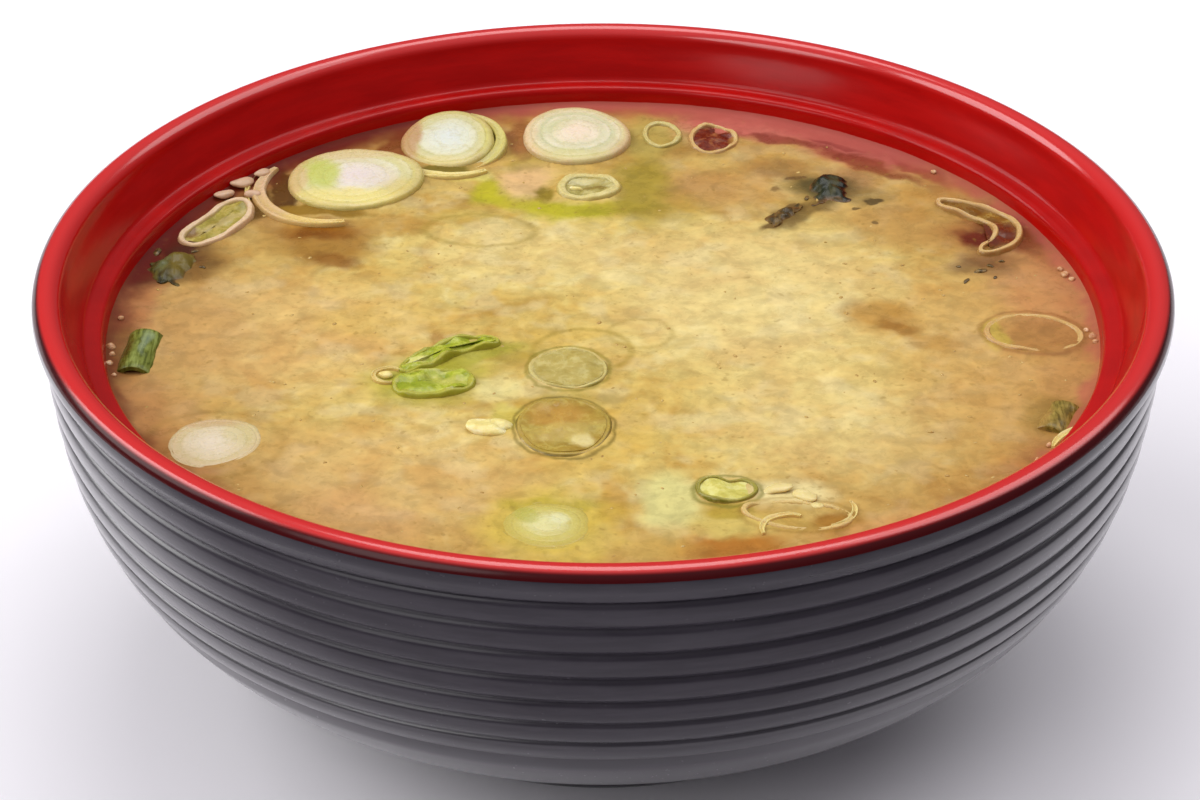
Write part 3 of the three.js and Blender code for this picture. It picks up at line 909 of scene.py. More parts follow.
def mottle_group():
    """Fine mottling: a value that wanders about 0.5, and a height to go with it."""
    shared, w, given, result = new_group(
        "fine_mottle",
        [("Where", "Vector", None), ("Size", "Float", 1.0)],
        [("Tone", "Float"), ("Height", "Float")],
    )
    scale = w.maths("DIVIDE", 1 / MM, given["Size"])
    fine = w.add("TexNoise", Vector=given["Where"], Scale=scale, Detail=4.0, Roughness=0.6, Distortion=0.4)
    finer = w.add(
        "TexNoise", Vector=given["Where"], Scale=w.maths("MULTIPLY", scale, 3.1), Detail=2.0, Roughness=0.5
    )
    blend = w.maths("MULTIPLY_ADD", finer.outputs[0], 0.2, w.maths("MULTIPLY", fine.outputs[0], 0.8))
    w.feed(result["Tone"], blend)
    w.feed(result["Height"], fine.outputs[0])
    return shared


def haze_group():
    """The faint haze and swirl of a hand-polished coat: a roughness and a height."""
    shared, w, given, result = new_group(
        "coat_haze",
        [("Where", "Vector", None), ("Gloss", "Float", 0.2), ("Haze", "Float", 0.1)],
        [("Roughness", "Float"), ("Height", "Float")],
    )
    broad = w.cloud(given["Where"], 14, 2.0)
    dust = w.eased(w.cloud(given["Where"], 0.5, 1.0), 0.66, 0.78)
    haze = w.maths("MULTIPLY", given["Haze"], w.maths("MULTIPLY_ADD", dust, 0.4, broad))
    w.feed(result["Roughness"], w.maths("ADD", given["Gloss"], haze))
    w.feed(result["Height"], w.cloud(given["Where"], 3.0, 2.0))
    return shared


SPOT, VEIL, MOTTLE, HAZE = spot_group(), veil_group(), mottle_group(), haze_group()


def lacquer(name, base, worn, gloss, haze, wave, shine, coat, lip=None, rim=None):
    """A brushed and polished coat. Faint strokes run round the bowl. The clear coat on top has its own
    roughness and IOR. It glosses a lip, whose brighter red is painted light on its upper face and whose
    dark lower rim is painted shade. Without a lip it glosses the wall where that is seen edge-on, so this
    gloss moves with the view."""
    finish, w, body = new_finish(name)
    where = w.place()
    film = w.group(HAZE, Where=where, Gloss=gloss, Haze=haze).outputs
    flat = w.vectors("MULTIPLY", where, (1.0, 1.0, 0.0))
    outwards = w.vectors("NORMALIZE", flat)
    up = w.add("SeparateXYZ", Vector=where).outputs["Z"]
    around = w.vectors("MULTIPLY", outwards, (0.058, 0.058, 0.0))
    height = w.vectors("MULTIPLY", where, (0.0, 0.0, 7.0))
    strokes = w.cloud(w.vectors("ADD", around, height), 9, 3.0, 0.6)
    colour = w.mixed(w.eased(strokes, 0.34, 0.68), base, worn)
    if lip:
        # Painted light: the lip's upper face is given a brighter red.
        top = w.eased(up, 44.6 * MM, 45.4 * MM)
        colour = w.mixed(top, colour, lip)
        # Painted shade: the lip's outer underside is darkened to the rim colour.
        under = w.eased(w.vectors("LENGTH", flat), 59.05 * MM, 59.5 * MM)
        colour = w.mixed(under, colour, rim)
        w.feed(body["Coat Weight"], w.maths("MULTIPLY", top, w.eased(under, 1.0, 0.0, 0.0, 0.65)))
    else:
        lean = w.eased(up, 0.0, 0.046, -1.1, -0.1, "LINEAR")
        wall = w.vectors("ADD", outwards, w.add("CombineXYZ", Z=lean).outputs[0])
        settings = {"vector_type": "NORMAL", "convert_from": "OBJECT", "convert_to": "WORLD"}
        wall = w.vectors("NORMALIZE", w.add("VectorTransform", settings, Vector=wall).outputs[0])
        edge_on = w.add("LayerWeight", Blend=0.5, Normal=wall).outputs["Facing"]
        w.feed(body["Coat Weight"], w.eased(edge_on, 0.5, 0.92))
    w.feed(body["Base Color"], colour)
    w.feed(body["Roughness"], w.maths("MULTIPLY_ADD", strokes, haze * 0.6, film["Roughness"]))
    w.bumped(body, 1.0, wave, film["Height"])
    given_body(body, Specular_IOR_Level=shine, Coat_Roughness=coat[0], Coat_IOR=coat[1])
    return finish


# Tints of the broth; DARK_RED is the lacquer seen through it, darkened as painted shade
LIME, OLIVE = (172, 164, 34), (160, 138, 52)
BROWN, UMBER = (160, 112, 42), (100, 66, 24)
GOLD, PALE, PEACH, CREAM = (204, 168, 76), (222, 212, 146), (216, 176, 122), (230, 210, 150)
WINE, DARK_RED = (108, 38, 16), (64, 16, 6)

# Where the broth has a tint of its own, or painted shade, shadow or reflection where marked: x, y, half
# sizes, turn in degrees, softness, strength and tint
TINTS = [
    (-34, -2, 15, 12, 0, 1, 0.35, PEACH),
    (-43.4, -1.8, 5.5, 8, 0, 1, 0.55, (180, 136, 76)),
    (11, 30.6, 5, 4, 0, 1, 0.5, (164, 116, 58)),
    (10.4, 40.6, 4, 2, 0, 0.9, 0.6, (142, 104, 44)),
    (-20, -30, 14, 9, -10, 1, 0.3, PEACH),
    (16, 6, 15, 16, 0, 1, 0.45, CREAM),
    (-8, 15, 12, 7, 0, 1, 0.3, CREAM),
    (22, -20, 12, 10, 0, 1, 0.3, CREAM),
    (41, -6, 11, 16, 10, 1, 0.5, (196, 152, 88)),
    (48, 7, 5, 11, 8, 0.9, 0.5, (184, 122, 82)),
    (-45.9, -17.7, 4.5, 6.5, 20, 0.9, 0.45, (192, 142, 88)),
    (-51, 3.6, 2.6, 8, 0, 0.9, 0.5, (170, 104, 66)),
    (-24.1, -37.9, 7, 3.4, -30, 0.9, 0.4, (196, 148, 98)),
    (27.7, -40.6, 6, 3, 28, 0.9, 0.45, (196, 140, 84)),
    (-23.9, 0.4, 6.5, 3.4, 0, 0.9, 0.35, GOLD),
    (-4, -3, 5.4, 2.2, 0, 0.9, 0.45, GOLD),
    (-2, -27.4, 4, 3, 0, 0.9, 0.35, GOLD),
    (2.6, -22, 2.4, 6, 6, 0.9, 0.5, GOLD),
    (-31, 17.8, 5.6, 5.2, -20, 0.95, 0.9, (152, 108, 40)),
    (-31.6, 20.6, 4.2, 2, 0, 0.95, 0.95, (124, 72, 10)),
    (-29.4, 13.8, 3, 1.3, -20, 0.9, 0.75, (132, 84, 24)),
    (-24.2, 22, 5, 2.4, 12, 0.9, 0.5, BROWN),
    (-36.4, 22.6, 2.6, 3.6, 10, 0.9, 0.5, BROWN),
    (-15, 24.6, 4.4, 1.6, 0, 0.9, 0.3, OLIVE),
    (29.8, 1.6, 4.4, 3.4, -38, 0.95, 0.75, (164, 116, 40)),
    (31.6, -1, 2.4, 1.4, -30, 0.9, 0.6, (150, 98, 30)),
    (35.4, -4.4, 3, 1.6, -30, 0.9, 0.45, BROWN),
    (0.9, -35.2, 1.3, 3.8, 4, 0.8, 0.6, (170, 124, 34)),
    (12.2, -43.6, 5, 2.2, 4, 0.8, 0.85, (160, 100, 28)),
    (4.5, -43.6, 5, 1.8, 0, 0.9, 0.45, (192, 160, 78)),
    (-17.3, -3.6, 1, 2.2, 0, 0.8, 0.6, BROWN),
    (-9.6, -7.4, 1.8, 2.8, 45, 0.8, 0.7, (158, 110, 34)),
    (-16, -16.2, 6.2, 1.8, 0, 0.9, 0.35, BROWN),
    (-13.1, 30.2, 2.2, 3.2, 0, 0.9, 0.9, LIME),
    (-15, 34, 2.2, 1.6, 0, 0.9, 0.6, (206, 196, 100)),
    (-10, 27.8, 4.6, 1.8, -24, 0.9, 0.75, LIME),
    (-8.6, 33.2, 2.9, 4.2, 0, 0.9, 0.75, (214, 174, 124)),
    (-9.2, 37.6, 2.4, 2.4, 0, 0.9, 0.5, OLIVE),
    (-3.8, 25.4, 5.6, 2.4, -4, 0.8, 0.95, LIME),
    (1.6, 26.4, 4.4, 1.8, 14, 0.85, 0.75, (160, 148, 40)),
    (-6.3, 29.4, 1.2, 1.6, 0, 0.95, 0.9, (130, 110, 24)),
    (4.9, 31.4, 3.8, 8.4, 0, 0.95, 0.85, (148, 128, 38)),
    (8, 26, 5, 3, 20, 0.95, 0.4, OLIVE),
    (-18.5, -12.4, 5.8, 4.8, 8, 0.95, 0.7, (164, 156, 48)),
    (-18, -11.6, 4.4, 2.6, 6, 0.8, 0.8, (140, 144, 30)),
    (-14.6, -7.2, 5.6, 1.7, 24, 0.8, 0.75, (146, 146, 36)),
    (-13, -7.4, 6, 3, 10, 0.9, 0.45, (170, 160, 60)),
    (-10.6, -13.8, 2.4, 2.6, 0, 0.8, 0.5, PALE),
    (-9.7, -19.4, 1.6, 2.6, 0, 0.9, 0.6, (184, 172, 70)),
    (-3.6, -16, 5, 1.4, 0, 0.9, 0.45, OLIVE),
    (-5.1, -39.8, 6.8, 6.6, 0, 0.7, 0.65, (198, 176, 70)),
    (-5.1, -36, 4.8, 1.2, 0, 0.8, 0.65, (166, 150, 44)),
    (6.6, -35.2, 3, 5.4, 0, 0.85, 0.85, (206, 200, 130)),
    (12.4, -39.2, 4.2, 2.4, 0, 0.9, 0.6, (200, 184, 98)),
    (12.4, -36.7, 2.8, 1.5, 0, 0.7, 0.75, (160, 136, 38)),
    (18.6, -33.9, 4, 2.4, -8, 0.9, 0.8, (218, 204, 146)),
    (19, -38.4, 5, 2.6, -6, 0.8, 0.55, (186, 156, 76)),
    (22.8, -39.4, 2.6, 1.8, 30, 0.9, 0.85, (146, 98, 28)),
    (46.9, -3.2, 5.2, 4.4, -10, 0.8, 0.75, (158, 110, 56)),
    (41.6, -2.6, 1.3, 3.2, 0, 0.8, 0.75, (184, 160, 66)),
    (48.4, -12.6, 3.4, 5.4, 0, 0.9, 0.5, (178, 132, 76)),
    (46.8, -19.4, 3.6, 4.4, -20, 0.9, 0.65, (132, 104, 42)),
    (42.6, 21, 5.2, 4.4, 40, 0.9, 0.7, (130, 66, 28)),
    (46.4, 20.2, 3, 5.6, 30, 0.8, 0.75, WINE),
    (41.8, 12.3, 3.4, 2.6, 0, 0.9, 0.6, (112, 76, 42)),
    (20, 36, 4.4, 2.4, -14, 0.9, 0.6, (128, 84, 40)),
    (28.4, 33, 3.2, 4, -40, 0.9, 0.55, (140, 92, 56)),
    (21, 27, 4.6, 4, 0, 0.95, 0.35, BROWN),
    (25.4, 31.2, 4, 3.2, -10, 0.95, 0.85, (58, 54, 26)),
    (20.2, 24.2, 3.4, 1.6, 52, 0.95, 0.7, (112, 82, 36)),
    (30.4, 29, 2.6, 1.8, 0, 0.95, 0.4, (96, 74, 40)),
    (37, 27.4, 4, 4, 0, 0.95, 0.4, BROWN),
    (-46.4, 13.6, 5, 4.2, -10, 0.9, 0.75, UMBER),
    # Painted shadow beside the left green tube.
    (-50.6, -6.6, 2.4, 5.6, 0, 0.9, 0.6, UMBER),
    # The next three: painted shade in the gaps round the rear-left slice and its loose layer.
    (-36.7, 30.6, 1.9, 6.6, 8, 0.5, 1, (92, 60, 20)),
    (-32, 25.3, 5.6, 1.5, -8, 0.5, 0.95, (138, 104, 30)),
    (-39.6, 26.8, 1.6, 3.6, 0, 0.6, 0.95, (102, 70, 18)),
    (-24.2, 39.6, 1.8, 6, 0, 0.7, 0.8, WINE),
    (-35.6, 40, 3.6, 3.2, 35, 0.8, 0.8, WINE),
    (-9.8, 44, 1.6, 5, 0, 0.7, 0.7, (130, 70, 40)),
    (5.2, 43.6, 3.2, 4.8, 0, 0.7, 0.75, (164, 146, 72)),
    # Painted shade in the gap between the rear slice and the strip in front of it.
    (-18.3, 35.5, 3.1, 1.2, 8, 0.5, 0.95, (112, 96, 28)),
    (14, 31, 6, 5, 0, 0.95, 0.6, (178, 132, 74)),
    (33, 22, 7, 4.4, -30, 0.95, 0.7, (172, 130, 68)),
    (42.6, 14.6, 3, 2, 0, 0.9, 0.6, (116, 72, 38)),
    (42.8, 18.6, 3.2, 2.4, -30, 0.85, 0.95, (96, 28, 10)),
    (40.9, 25.8, 2.4, 1.6, -36, 0.8, 0.6, (126, 84, 20)),
    (23, 25.6, 6.2, 1.8, 50, 0.95, 0.75, (96, 74, 32)),
    (12.6, 43.4, 2.6, 3.2, 0, 0.7, 0.85, (104, 38, 16)),
    # The next two: painted reflection of the red wall on the broth.
    (17.4, 46.8, 9, 3.4, -14, 0.95, 0.95, (182, 98, 86)),
    (29.4, 41, 8, 3.4, -32, 0.95, 0.95, (166, 86, 76)),
    (31, 36.8, 7, 1.1, -38, 0.9, 0.75, (120, 50, 30)),
    (20.8, 43.2, 4.6, 0.9, -18, 0.8, 0.75, (120, 48, 38)),
    (27.4, 42, 3.6, 0.6, -30, 0.8, 0.7, (120, 46, 40)),
    (36.6, 35.2, 4, 0.8, -44, 0.8, 0.6, (128, 44, 36)),
    (30.8, 28.2, 0.9, 0.6, 15, 0.6, 0.85, (70, 56, 28)),
    (29, 26.4, 0.6, 0.4, 50, 0.6, 0.8, (84, 64, 32)),
    (30.5, 22.7, 0.7, 0.5, -10, 0.6, 0.8, (104, 80, 42)),
    (22.4, 33.6, 1.2, 0.5, 30, 0.7, 0.8, (104, 76, 40)),
    (20.2, 31, 0.9, 0.5, 60, 0.7, 0.7, (116, 86, 46)),
    (18.2, 22, 1, 0.9, 30, 0.7, 0.85, (96, 68, 28)),
    (20.8, 26, 1.3, 0.6, 50, 0.7, 0.7, (96, 70, 34)),
    # The next two: the lacquer seen through the broth along the left wall, darkened as painted shade.
    (-47.6, 18.4, 2.8, 5.6, 20, 0.7, 0.9, DARK_RED),
    (-50.4, 12, 1.8, 5, 0, 0.7, 0.8, DARK_RED),
]
SUNK_LINES = [  # outlines of onion at and under the surface: x, y, half sizes, turn, width, strength, tint
    (-13.8, 20.9, 6.2, 3.6, -4, 0.16, 0.4, (150, 126, 46)),
    (-2.2, -6, 5.2, 4.6, 6, 0.14, 0.5, (150, 126, 46)),
    (4, -2.2, 3.4, 3, 0, 0.16, 0.25, (150, 126, 46)),
    (-39.2, -24.6, 7, 6.2, 0, 0.12, 0.3, (150, 116, 52)),
    (-3.6, -9.8, 4.4, 4.6, 5, 0.1, 0.6, (128, 116, 34)),
    (-4, -21.6, 5.2, 6, 12, 0.07, 0.6, (104, 88, 22)),
    (12.2, -33.5, 3.4, 2.9, -8, 0.16, 0.6, (106, 104, 22)),
    (19, -37.9, 5.7, 3, -6, 0.12, 0.4, (150, 116, 48)),
    (45.7, -2.3, 5.5, 4.5, -12, 0.12, 0.5, (140, 92, 46)),
]


def tinted(w, colour, where, table, shape="Spot"):
    """Lays soft spots, or their outlines, over a colour."""
    for x, y, half_x, half_y, turn, soft, strength, tint in table:
        spot = w.group(
            SPOT,
            Where=where,
            Centre=(x, y, 0.0),
            Half_size=(half_x, half_y, 1.0),
            Turn=math.radians(turn),
            Softness=soft,
            Ring=soft,
        ).outputs[shape]
        colour = w.mixed(w.maths("MULTIPLY", spot, strength), colour, tint)
    return colour


def strayed(w, where, size, reach):
    """The place in the soup's plane in millimetres, led astray a little so that edges are uneven."""
    shift = w.add("TexNoise", Vector=where, Scale=1 / (size * MM), Detail=3.0, Roughness=0.45)
    return w.vectors(
        "MULTIPLY_ADD",
        w.vectors("SUBTRACT", shift.outputs["Color"], (0.5, 0.5, 0.5)),
        (4 * reach, 4 * reach, 0.0),
        w.vectors("MULTIPLY", where, (1 / MM, 1 / MM, 0.0)),
    )


def miso_finish():
    finish, w, body = new_finish("miso_broth")
    where = w.place()
    astray = strayed(w, where, 3.6, 1.0)
    mottle = w.group(MOTTLE, Where=where, Size=2.4).outputs
    colour = w.stops(
        w.cloud(where, 7.0, 3.0, 0.6, 0.6),
        (0.32, (184, 146, 68)),
        (0.45, (198, 168, 90)),
        (0.57, (205, 180, 102)),
        (0.7, (215, 197, 130)),
    )
    # Drifts of settled miso: golden in places, milky in others.
    golden = w.eased(w.cloud(where, 3.4, 2.0, 0.5), 0.5, 0.68, 0.0, 0.4)
    colour = w.mixed(golden, colour, (190, 146, 60))
    milky = w.eased(w.cloud(w.vectors("ADD", where, (0.3, 0.1, 0.0)), 4.6, 2.0, 0.5), 0.5, 0.68, 0.0, 0.4)
    colour = w.mixed(milky, colour, (209, 195, 146))
    # It darkens and browns towards the wall: partly the clear broth there letting the lacquer show, partly
    # painted shade from the wall.
    radius = w.vectors("LENGTH", astray)
    colour = w.mixed(w.eased(radius, 26.0, 50.0, 0.0, 0.6), colour, (166, 120, 64))
    colour = w.mixed(w.eased(radius, 47.0, 51.5, 0.0, 0.6), colour, (146, 82, 42))
    colour = tinted(w, colour, astray, TINTS)
    colour = tinted(w, colour, strayed(w, where, 1.8, 0.25), SUNK_LINES, "Line")
    # Grain: a little lighter and darker all over, with darker flecks here and there.
    colour = w.vectors("MULTIPLY", colour, w.eased(mottle["Tone"], 0.34, 0.66, 0.8, 1.14, "LINEAR"))
    pepper = w.eased(w.cloud(where, 0.95, 1.0), 0.62, 0.74)
    pepper = w.maths("MULTIPLY", pepper, w.eased(w.cloud(where, 5.0, 1.0), 0.36, 0.6))
    colour = w.mixed(w.maths("MULTIPLY", pepper, 0.38), colour, (138, 108, 44))
    # Along the wall it's clear, and the lacquer shows through. The band is wider and pink at the rear, a
    # painted reflection of the red wall, and darkest at the left, painted shade.
    out = w.vectors("NORMALIZE", astray)
    rear = w.eased(w.vectors("DOT_PRODUCT", out, (-0.3, 0.95, 0.0)), 0.0, 0.8)
    left = w.eased(w.vectors("DOT_PRODUCT", out, (-1.0, 0.0, 0.0)), 0.05, 0.55)
    clear = w.eased(radius, w.maths("MULTIPLY_ADD", rear, -2.4, 50.8), 52.6)
    seen = w.mixed(left, (168, 78, 68), (98, 12, 6))
    colour = w.mixed(w.maths("MULTIPLY", clear, w.maths("MULTIPLY_ADD", rear, 0.35, 0.6)), colour, seen)
    w.feed(body["Base Color"], colour)
    rough = w.eased(mottle["Tone"], 0.3, 0.7, 0.22, 0.34, "LINEAR")
    w.feed(body["Roughness"], w.maths("MULTIPLY_ADD", clear, 0.3, rough))
    given_body(body, IOR=1.36, Specular_IOR_Level=0.22)
    w.bumped(body, 0.6, 0.07, mottle["Height"])
    return finish


def onion_finish(name, layers, broth=(206, 172, 104), spots=(), depth=0.45, level=-0.1, soft=0.2):
    """Onion, wet and a little see-through. Its layers run from the skin to the innermost one, and what
    lies under the broth takes its colour."""
    finish, w, body = new_finish(name)
    where = w.place()
    across = w.add("Attribute", {"attribute_name": "across"}).outputs["Fac"]
    mottle = w.group(MOTTLE, Where=where, Size=0.8).outputs
    wander = w.maths("MULTIPLY_ADD", w.maths("SUBTRACT", mottle["Tone"], 0.5), 0.12, across)
    colour = w.stops(wander, *layers)
    calm = w.eased(w.cloud(where, 3.0, 2.0), 0.35, 0.65, 0.1, 0.55)
    plain = w.stops(across, layers[0], layers[len(layers) // 2], layers[-1])
    colour = w.mixed(calm, colour, plain)
    colour = tinted(w, colour, strayed(w, where, 2.2, 0.5), spots)
    colour = w.mixed(w.eased(mottle["Tone"], 0.48, 0.34, 0.0, 0.25), colour, (186, 172, 104))
    clear = w.group(VEIL, Where=where, Level=(SOUP_LEVEL + level) * MM, Depth=depth * MM).outputs[0]
    colour = w.mixed(clear, broth, colour)
    w.feed(body["Base Color"], colour)
    w.feed(body["Roughness"], w.eased(mottle["Tone"], 0.3, 0.7, 0.2, 0.36, "LINEAR"))
    given_body(body, IOR=1.38, Subsurface_Weight=soft, Subsurface_Scale=0.9 * MM)
    given_body(body, Subsurface_Radius=(1.0, 0.8, 0.45))
    w.bumped(body, 0.6, 0.05, mottle["Height"])
    return finish


def leaf_finish(name, dark, mid, light, streak=0.35, spots=(), broth=(150, 120, 60), depth=0.35):
    """Green leaf with fine veins along it."""
    finish, w, body = new_finish(name)
    where = w.place()
    veins = w.cloud(w.vectors("MULTIPLY", where, (1.0, 0.12, 1.0)), streak, 2.0)
    mottle = w.group(MOTTLE, Where=where, Size=1.2).outputs
    tone = w.maths("MULTIPLY_ADD", veins, 0.6, w.maths("MULTIPLY", mottle["Tone"], 0.4))
    colour = w.stops(tone, (0.36, dark), (0.5, mid), (0.64, light))
    colour = tinted(w, colour, strayed(w, where, 2.0, 0.5), spots)
    clear = w.group(VEIL, Where=where, Level=(SOUP_LEVEL - 0.1) * MM, Depth=depth * MM).outputs[0]
    colour = w.mixed(clear, broth, colour)
    w.feed(body["Base Color"], colour)
    w.feed(body["Roughness"], w.eased(tone, 0.35, 0.65, 0.2, 0.38, "LINEAR"))
    given_body(body, IOR=1.4, Specular_IOR_Level=0.35)
    w.bumped(body, 0.5, 0.07, veins)
    return finish


def film_finish(name, dark, mid, light, size=1.6, spots=()):
    """A thin wet skin or a soft lump, mottled in tints of that size in millimetres."""
    finish, w, body = new_finish(name)
    where = w.place()
    mottle = w.group(MOTTLE, Where=where, Size=size).outputs
    colour = w.stops(mottle["Tone"], (0.36, dark), (0.5, mid), (0.63, light))
    colour = tinted(w, colour, strayed(w, where, 1.8, 0.4), spots)
    w.feed(body["Base Color"], colour)
    w.feed(body["Roughness"], w.eased(mottle["Tone"], 0.3, 0.7, 0.18, 0.34, "LINEAR"))
    given_body(body, IOR=1.36, Subsurface_Weight=0.2, Subsurface_Scale=0.7 * MM)
    given_body(body, Subsurface_Radius=(1.0, 0.8, 0.4))
    w.bumped(body, 0.5, 0.05, mottle["Height"])
    return finish


# ---- Making everything ----

BLACK = lacquer(
    "black_lacquer",
    base=(46, 42, 49),
    worn=(54, 50, 57),
    gloss=0.18,
    haze=0.08,
    wave=0.02,
    shine=0.22,
    coat=(0.3, 2.0),
)
RED = lacquer(
    "red_lacquer",
    base=(164, 6, 4),
    worn=(177, 9, 6),
    gloss=0.15,
    haze=0.06,
    wave=0.02,
    shine=0.18,
    coat=(0.14, 1.75),
    # The lip colour is painted light on the lip's upper face; the rim colour is painted shade under it.
    lip=(198, 14, 10),
    rim=(62, 5, 8),
)
BROTH = miso_finish()

make_bowl(BLACK, RED)
make_soup(BROTH)

# Slices: the tint of each layer from the skin to the heart, and the spots on its face
SLICE_LOOKS = {
    "slice_rear_left": dict(
        layers=[
            (0.0, (186, 171, 91)), (0.09, (217, 198, 137)), (0.17, (201, 188, 116)),
            (0.22, (220, 211, 163)), (0.36, (205, 198, 142)), (0.42, (222, 217, 186)),
            (0.57, (211, 203, 167)), (0.64, (224, 217, 198)), (1.0, (224, 211, 203)),
        ],
        spots=[
            (-32.2, 32.6, 2, 3.6, 8, 0.9, 0.85, (188, 194, 87)),
            (-35.2, 31.8, 1.2, 4.4, 0, 0.8, 0.6, (203, 171, 118)),
            (-28, 27.6, 6.4, 1.6, -3, 0.9, 0.7, (228, 211, 124)),
            (-23, 29.4, 2, 2.4, 30, 0.9, 0.6, (207, 186, 106)),
            (-29, 37.6, 5.6, 1.4, 4, 0.9, 0.5, (211, 184, 141)),
            (-26.6, 31.6, 3, 2.2, 0, 0.9, 0.5, (217, 203, 194)),
        ],
    ),
    "slice_rear": dict(
        layers=[
            (0.0, (177, 156, 80)), (0.09, (209, 192, 129)), (0.17, (196, 184, 106)),
            (0.23, (217, 209, 162)), (0.36, (200, 194, 142)), (0.45, (217, 215, 186)),
            (0.7, (215, 217, 200)), (1.0, (213, 217, 207)),
        ],
        spots=[
            (-22.6, 42.6, 1.3, 4.4, 0, 0.8, 0.8, (182, 136, 94)),
            (-19.4, 36.6, 4, 1.4, 0, 0.9, 0.6, (213, 196, 133)),
            (-12.6, 40.6, 1.6, 4.6, 0, 0.8, 0.55, (201, 194, 110)),
        ],
    ),
    "slice_rear_middle": dict(
        layers=[
            (0.0, (198, 167, 118)), (0.08, (215, 190, 142)), (0.16, (203, 192, 141)),
            (0.23, (222, 211, 175)), (0.37, (196, 194, 152)), (0.43, (224, 215, 186)),
            (0.57, (205, 201, 163)), (0.66, (226, 213, 184)), (1.0, (228, 209, 184)),
        ],
        spots=[
            (-3, 37.8, 5, 1.4, 0, 0.9, 0.6, (203, 196, 131)),
            (-5.4, 44.6, 2.4, 1.2, 35, 0.8, 0.4, (186, 190, 133)),
            (-9, 43.4, 1.2, 4, 0, 0.8, 0.5, (217, 194, 156)),
        ],
    ),
    "slice_front_left": dict(
        layers=[
            (0.0, (186, 158, 106)), (0.1, (203, 179, 133)), (0.2, (211, 190, 148)),
            (0.37, (203, 186, 141)), (0.45, (215, 200, 167)), (1.0, (218, 205, 179)),
        ],
        spots=[
            (-36.4, -22.4, 1.8, 2.8, 0, 0.9, 0.55, (196, 182, 125)),
            (-40, -20.8, 3.4, 1, 0, 0.8, 0.5, (186, 150, 103)),
        ],
        broth=(196, 167, 114),
        depth=0.3,
        level=-0.25,
    ),
    "slice_front": dict(
        layers=[
            (0.0, (169, 148, 59)), (0.12, (188, 163, 72)), (0.3, (190, 173, 82)),
            (0.5, (196, 184, 99)), (0.72, (190, 178, 100)), (1.0, (201, 194, 124)),
        ],
        spots=[
            (-5.6, -39.6, 2.2, 1.8, 0, 0.8, 0.7, (215, 211, 154)),
            (-4.2, -38.6, 1.2, 1, 0, 0.7, 0.5, (224, 224, 180)),
            (-7.4, -38, 1, 1.6, 30, 0.7, 0.5, (163, 163, 63)),
        ],
        broth=(188, 163, 74),
        depth=0.35,
        level=-0.3,
    ),
}

for name, spec in SLICES.items():
    piece = make_slice(name, spec)
    if name == "slice_rear":
        loose = make_strip("loose", curl(5.9, 1.5, -125, 70), 1.5)
        loose.data.transform(moved(0.3, -0.2, -0.6))
        piece = joined(name + "_onion", [piece, loose])
    laid(piece, **place_of(spec))
    roughened(piece, 0.25, 3.0)
    smoothed(piece, 50)
    pale = name == "slice_front"
    painted(piece, onion_finish(name + "_onion", **SLICE_LOOKS[name], soft=0.3))
    finished(piece, "pale_onion" if pale else "white_onion", name)


def ring_layers(outer, band, inner):
    return [
        (0.0, outer),
        (0.16, outer),
        (0.3, band),
        (0.7, tuple(0.97 * c for c in band)),
        (0.86, inner),
        (1.0, inner),
    ]


LOOSE_LAYER = onion_finish(
    "loose_onion",
    ring_layers((196, 162, 104), (214, 182, 132), (204, 172, 112)),
    broth=(186, 146, 84),
    depth=0.3,
    level=-0.25,
    spots=[
        (-38.6, 31.4, 1, 3, 0, 0.8, 0.5, (222, 190, 160)),
        (-30.8, 22.8, 5, 1.8, 0, 0.8, 0.8, (216, 186, 106)),
    ],
)
strip = make_strip("curl_rear_left", curl(8.5, 1.9, 144, 283), 1.9)
laid(strip, -30.9, 30.5, 0.52)
roughened(strip, 0.25, 2.5)
finished(painted(smoothed(strip, 50), LOOSE_LAYER), "pale_onion", "curl_rear_left")

# Rings: outer edge, band and inner edge, then what colours the film inside
RING_LOOKS = {
    "ring_rear_small": ((186, 168, 92), (216, 200, 132), (160, 146, 68)),
    "ring_left": ((200, 162, 120), (226, 196, 158), (190, 160, 96)),
    "ring_middle": ((140, 130, 48), (202, 186, 116), (180, 166, 88)),
    "ring_middle_front": ((100, 88, 18), (178, 150, 62), (132, 110, 34)),
    "ring_front_folded": ((108, 110, 26), (158, 148, 60), (122, 118, 36)),
    "ring_front_right": ((186, 150, 84), (208, 180, 112), (180, 150, 78)),
    "ring_right": ((170, 124, 70), (204, 166, 104), (170, 124, 66)),
    "ring_rear_right": ((160, 118, 62), (206, 170, 110), (158, 112, 54)),
    "ring_rear_inner": ((160, 146, 76), (202, 186, 118), (150, 128, 62)),
    "ring_rear_outer": ((168, 128, 76), (206, 172, 112), (150, 96, 52)),
}
FILM_LOOKS = {
    "ring_rear_small": ((154, 140, 69), (173, 158, 91), (192, 179, 115)),
    "ring_left": ((132, 118, 40), (164, 148, 62), (186, 166, 88)),
    "ring_middle": ((167, 146, 70), (182, 163, 89), (196, 180, 111)),
    "ring_middle_front": ((153, 121, 40), (169, 140, 55), (184, 162, 77)),
    "ring_front_folded": ((184, 172, 76), (204, 194, 98), (220, 212, 130)),
    "ring_rear_right": ((112, 70, 18), (134, 94, 28), (168, 134, 58)),
    "ring_rear_outer": ((86, 26, 12), (112, 42, 20), (150, 90, 50)),
}
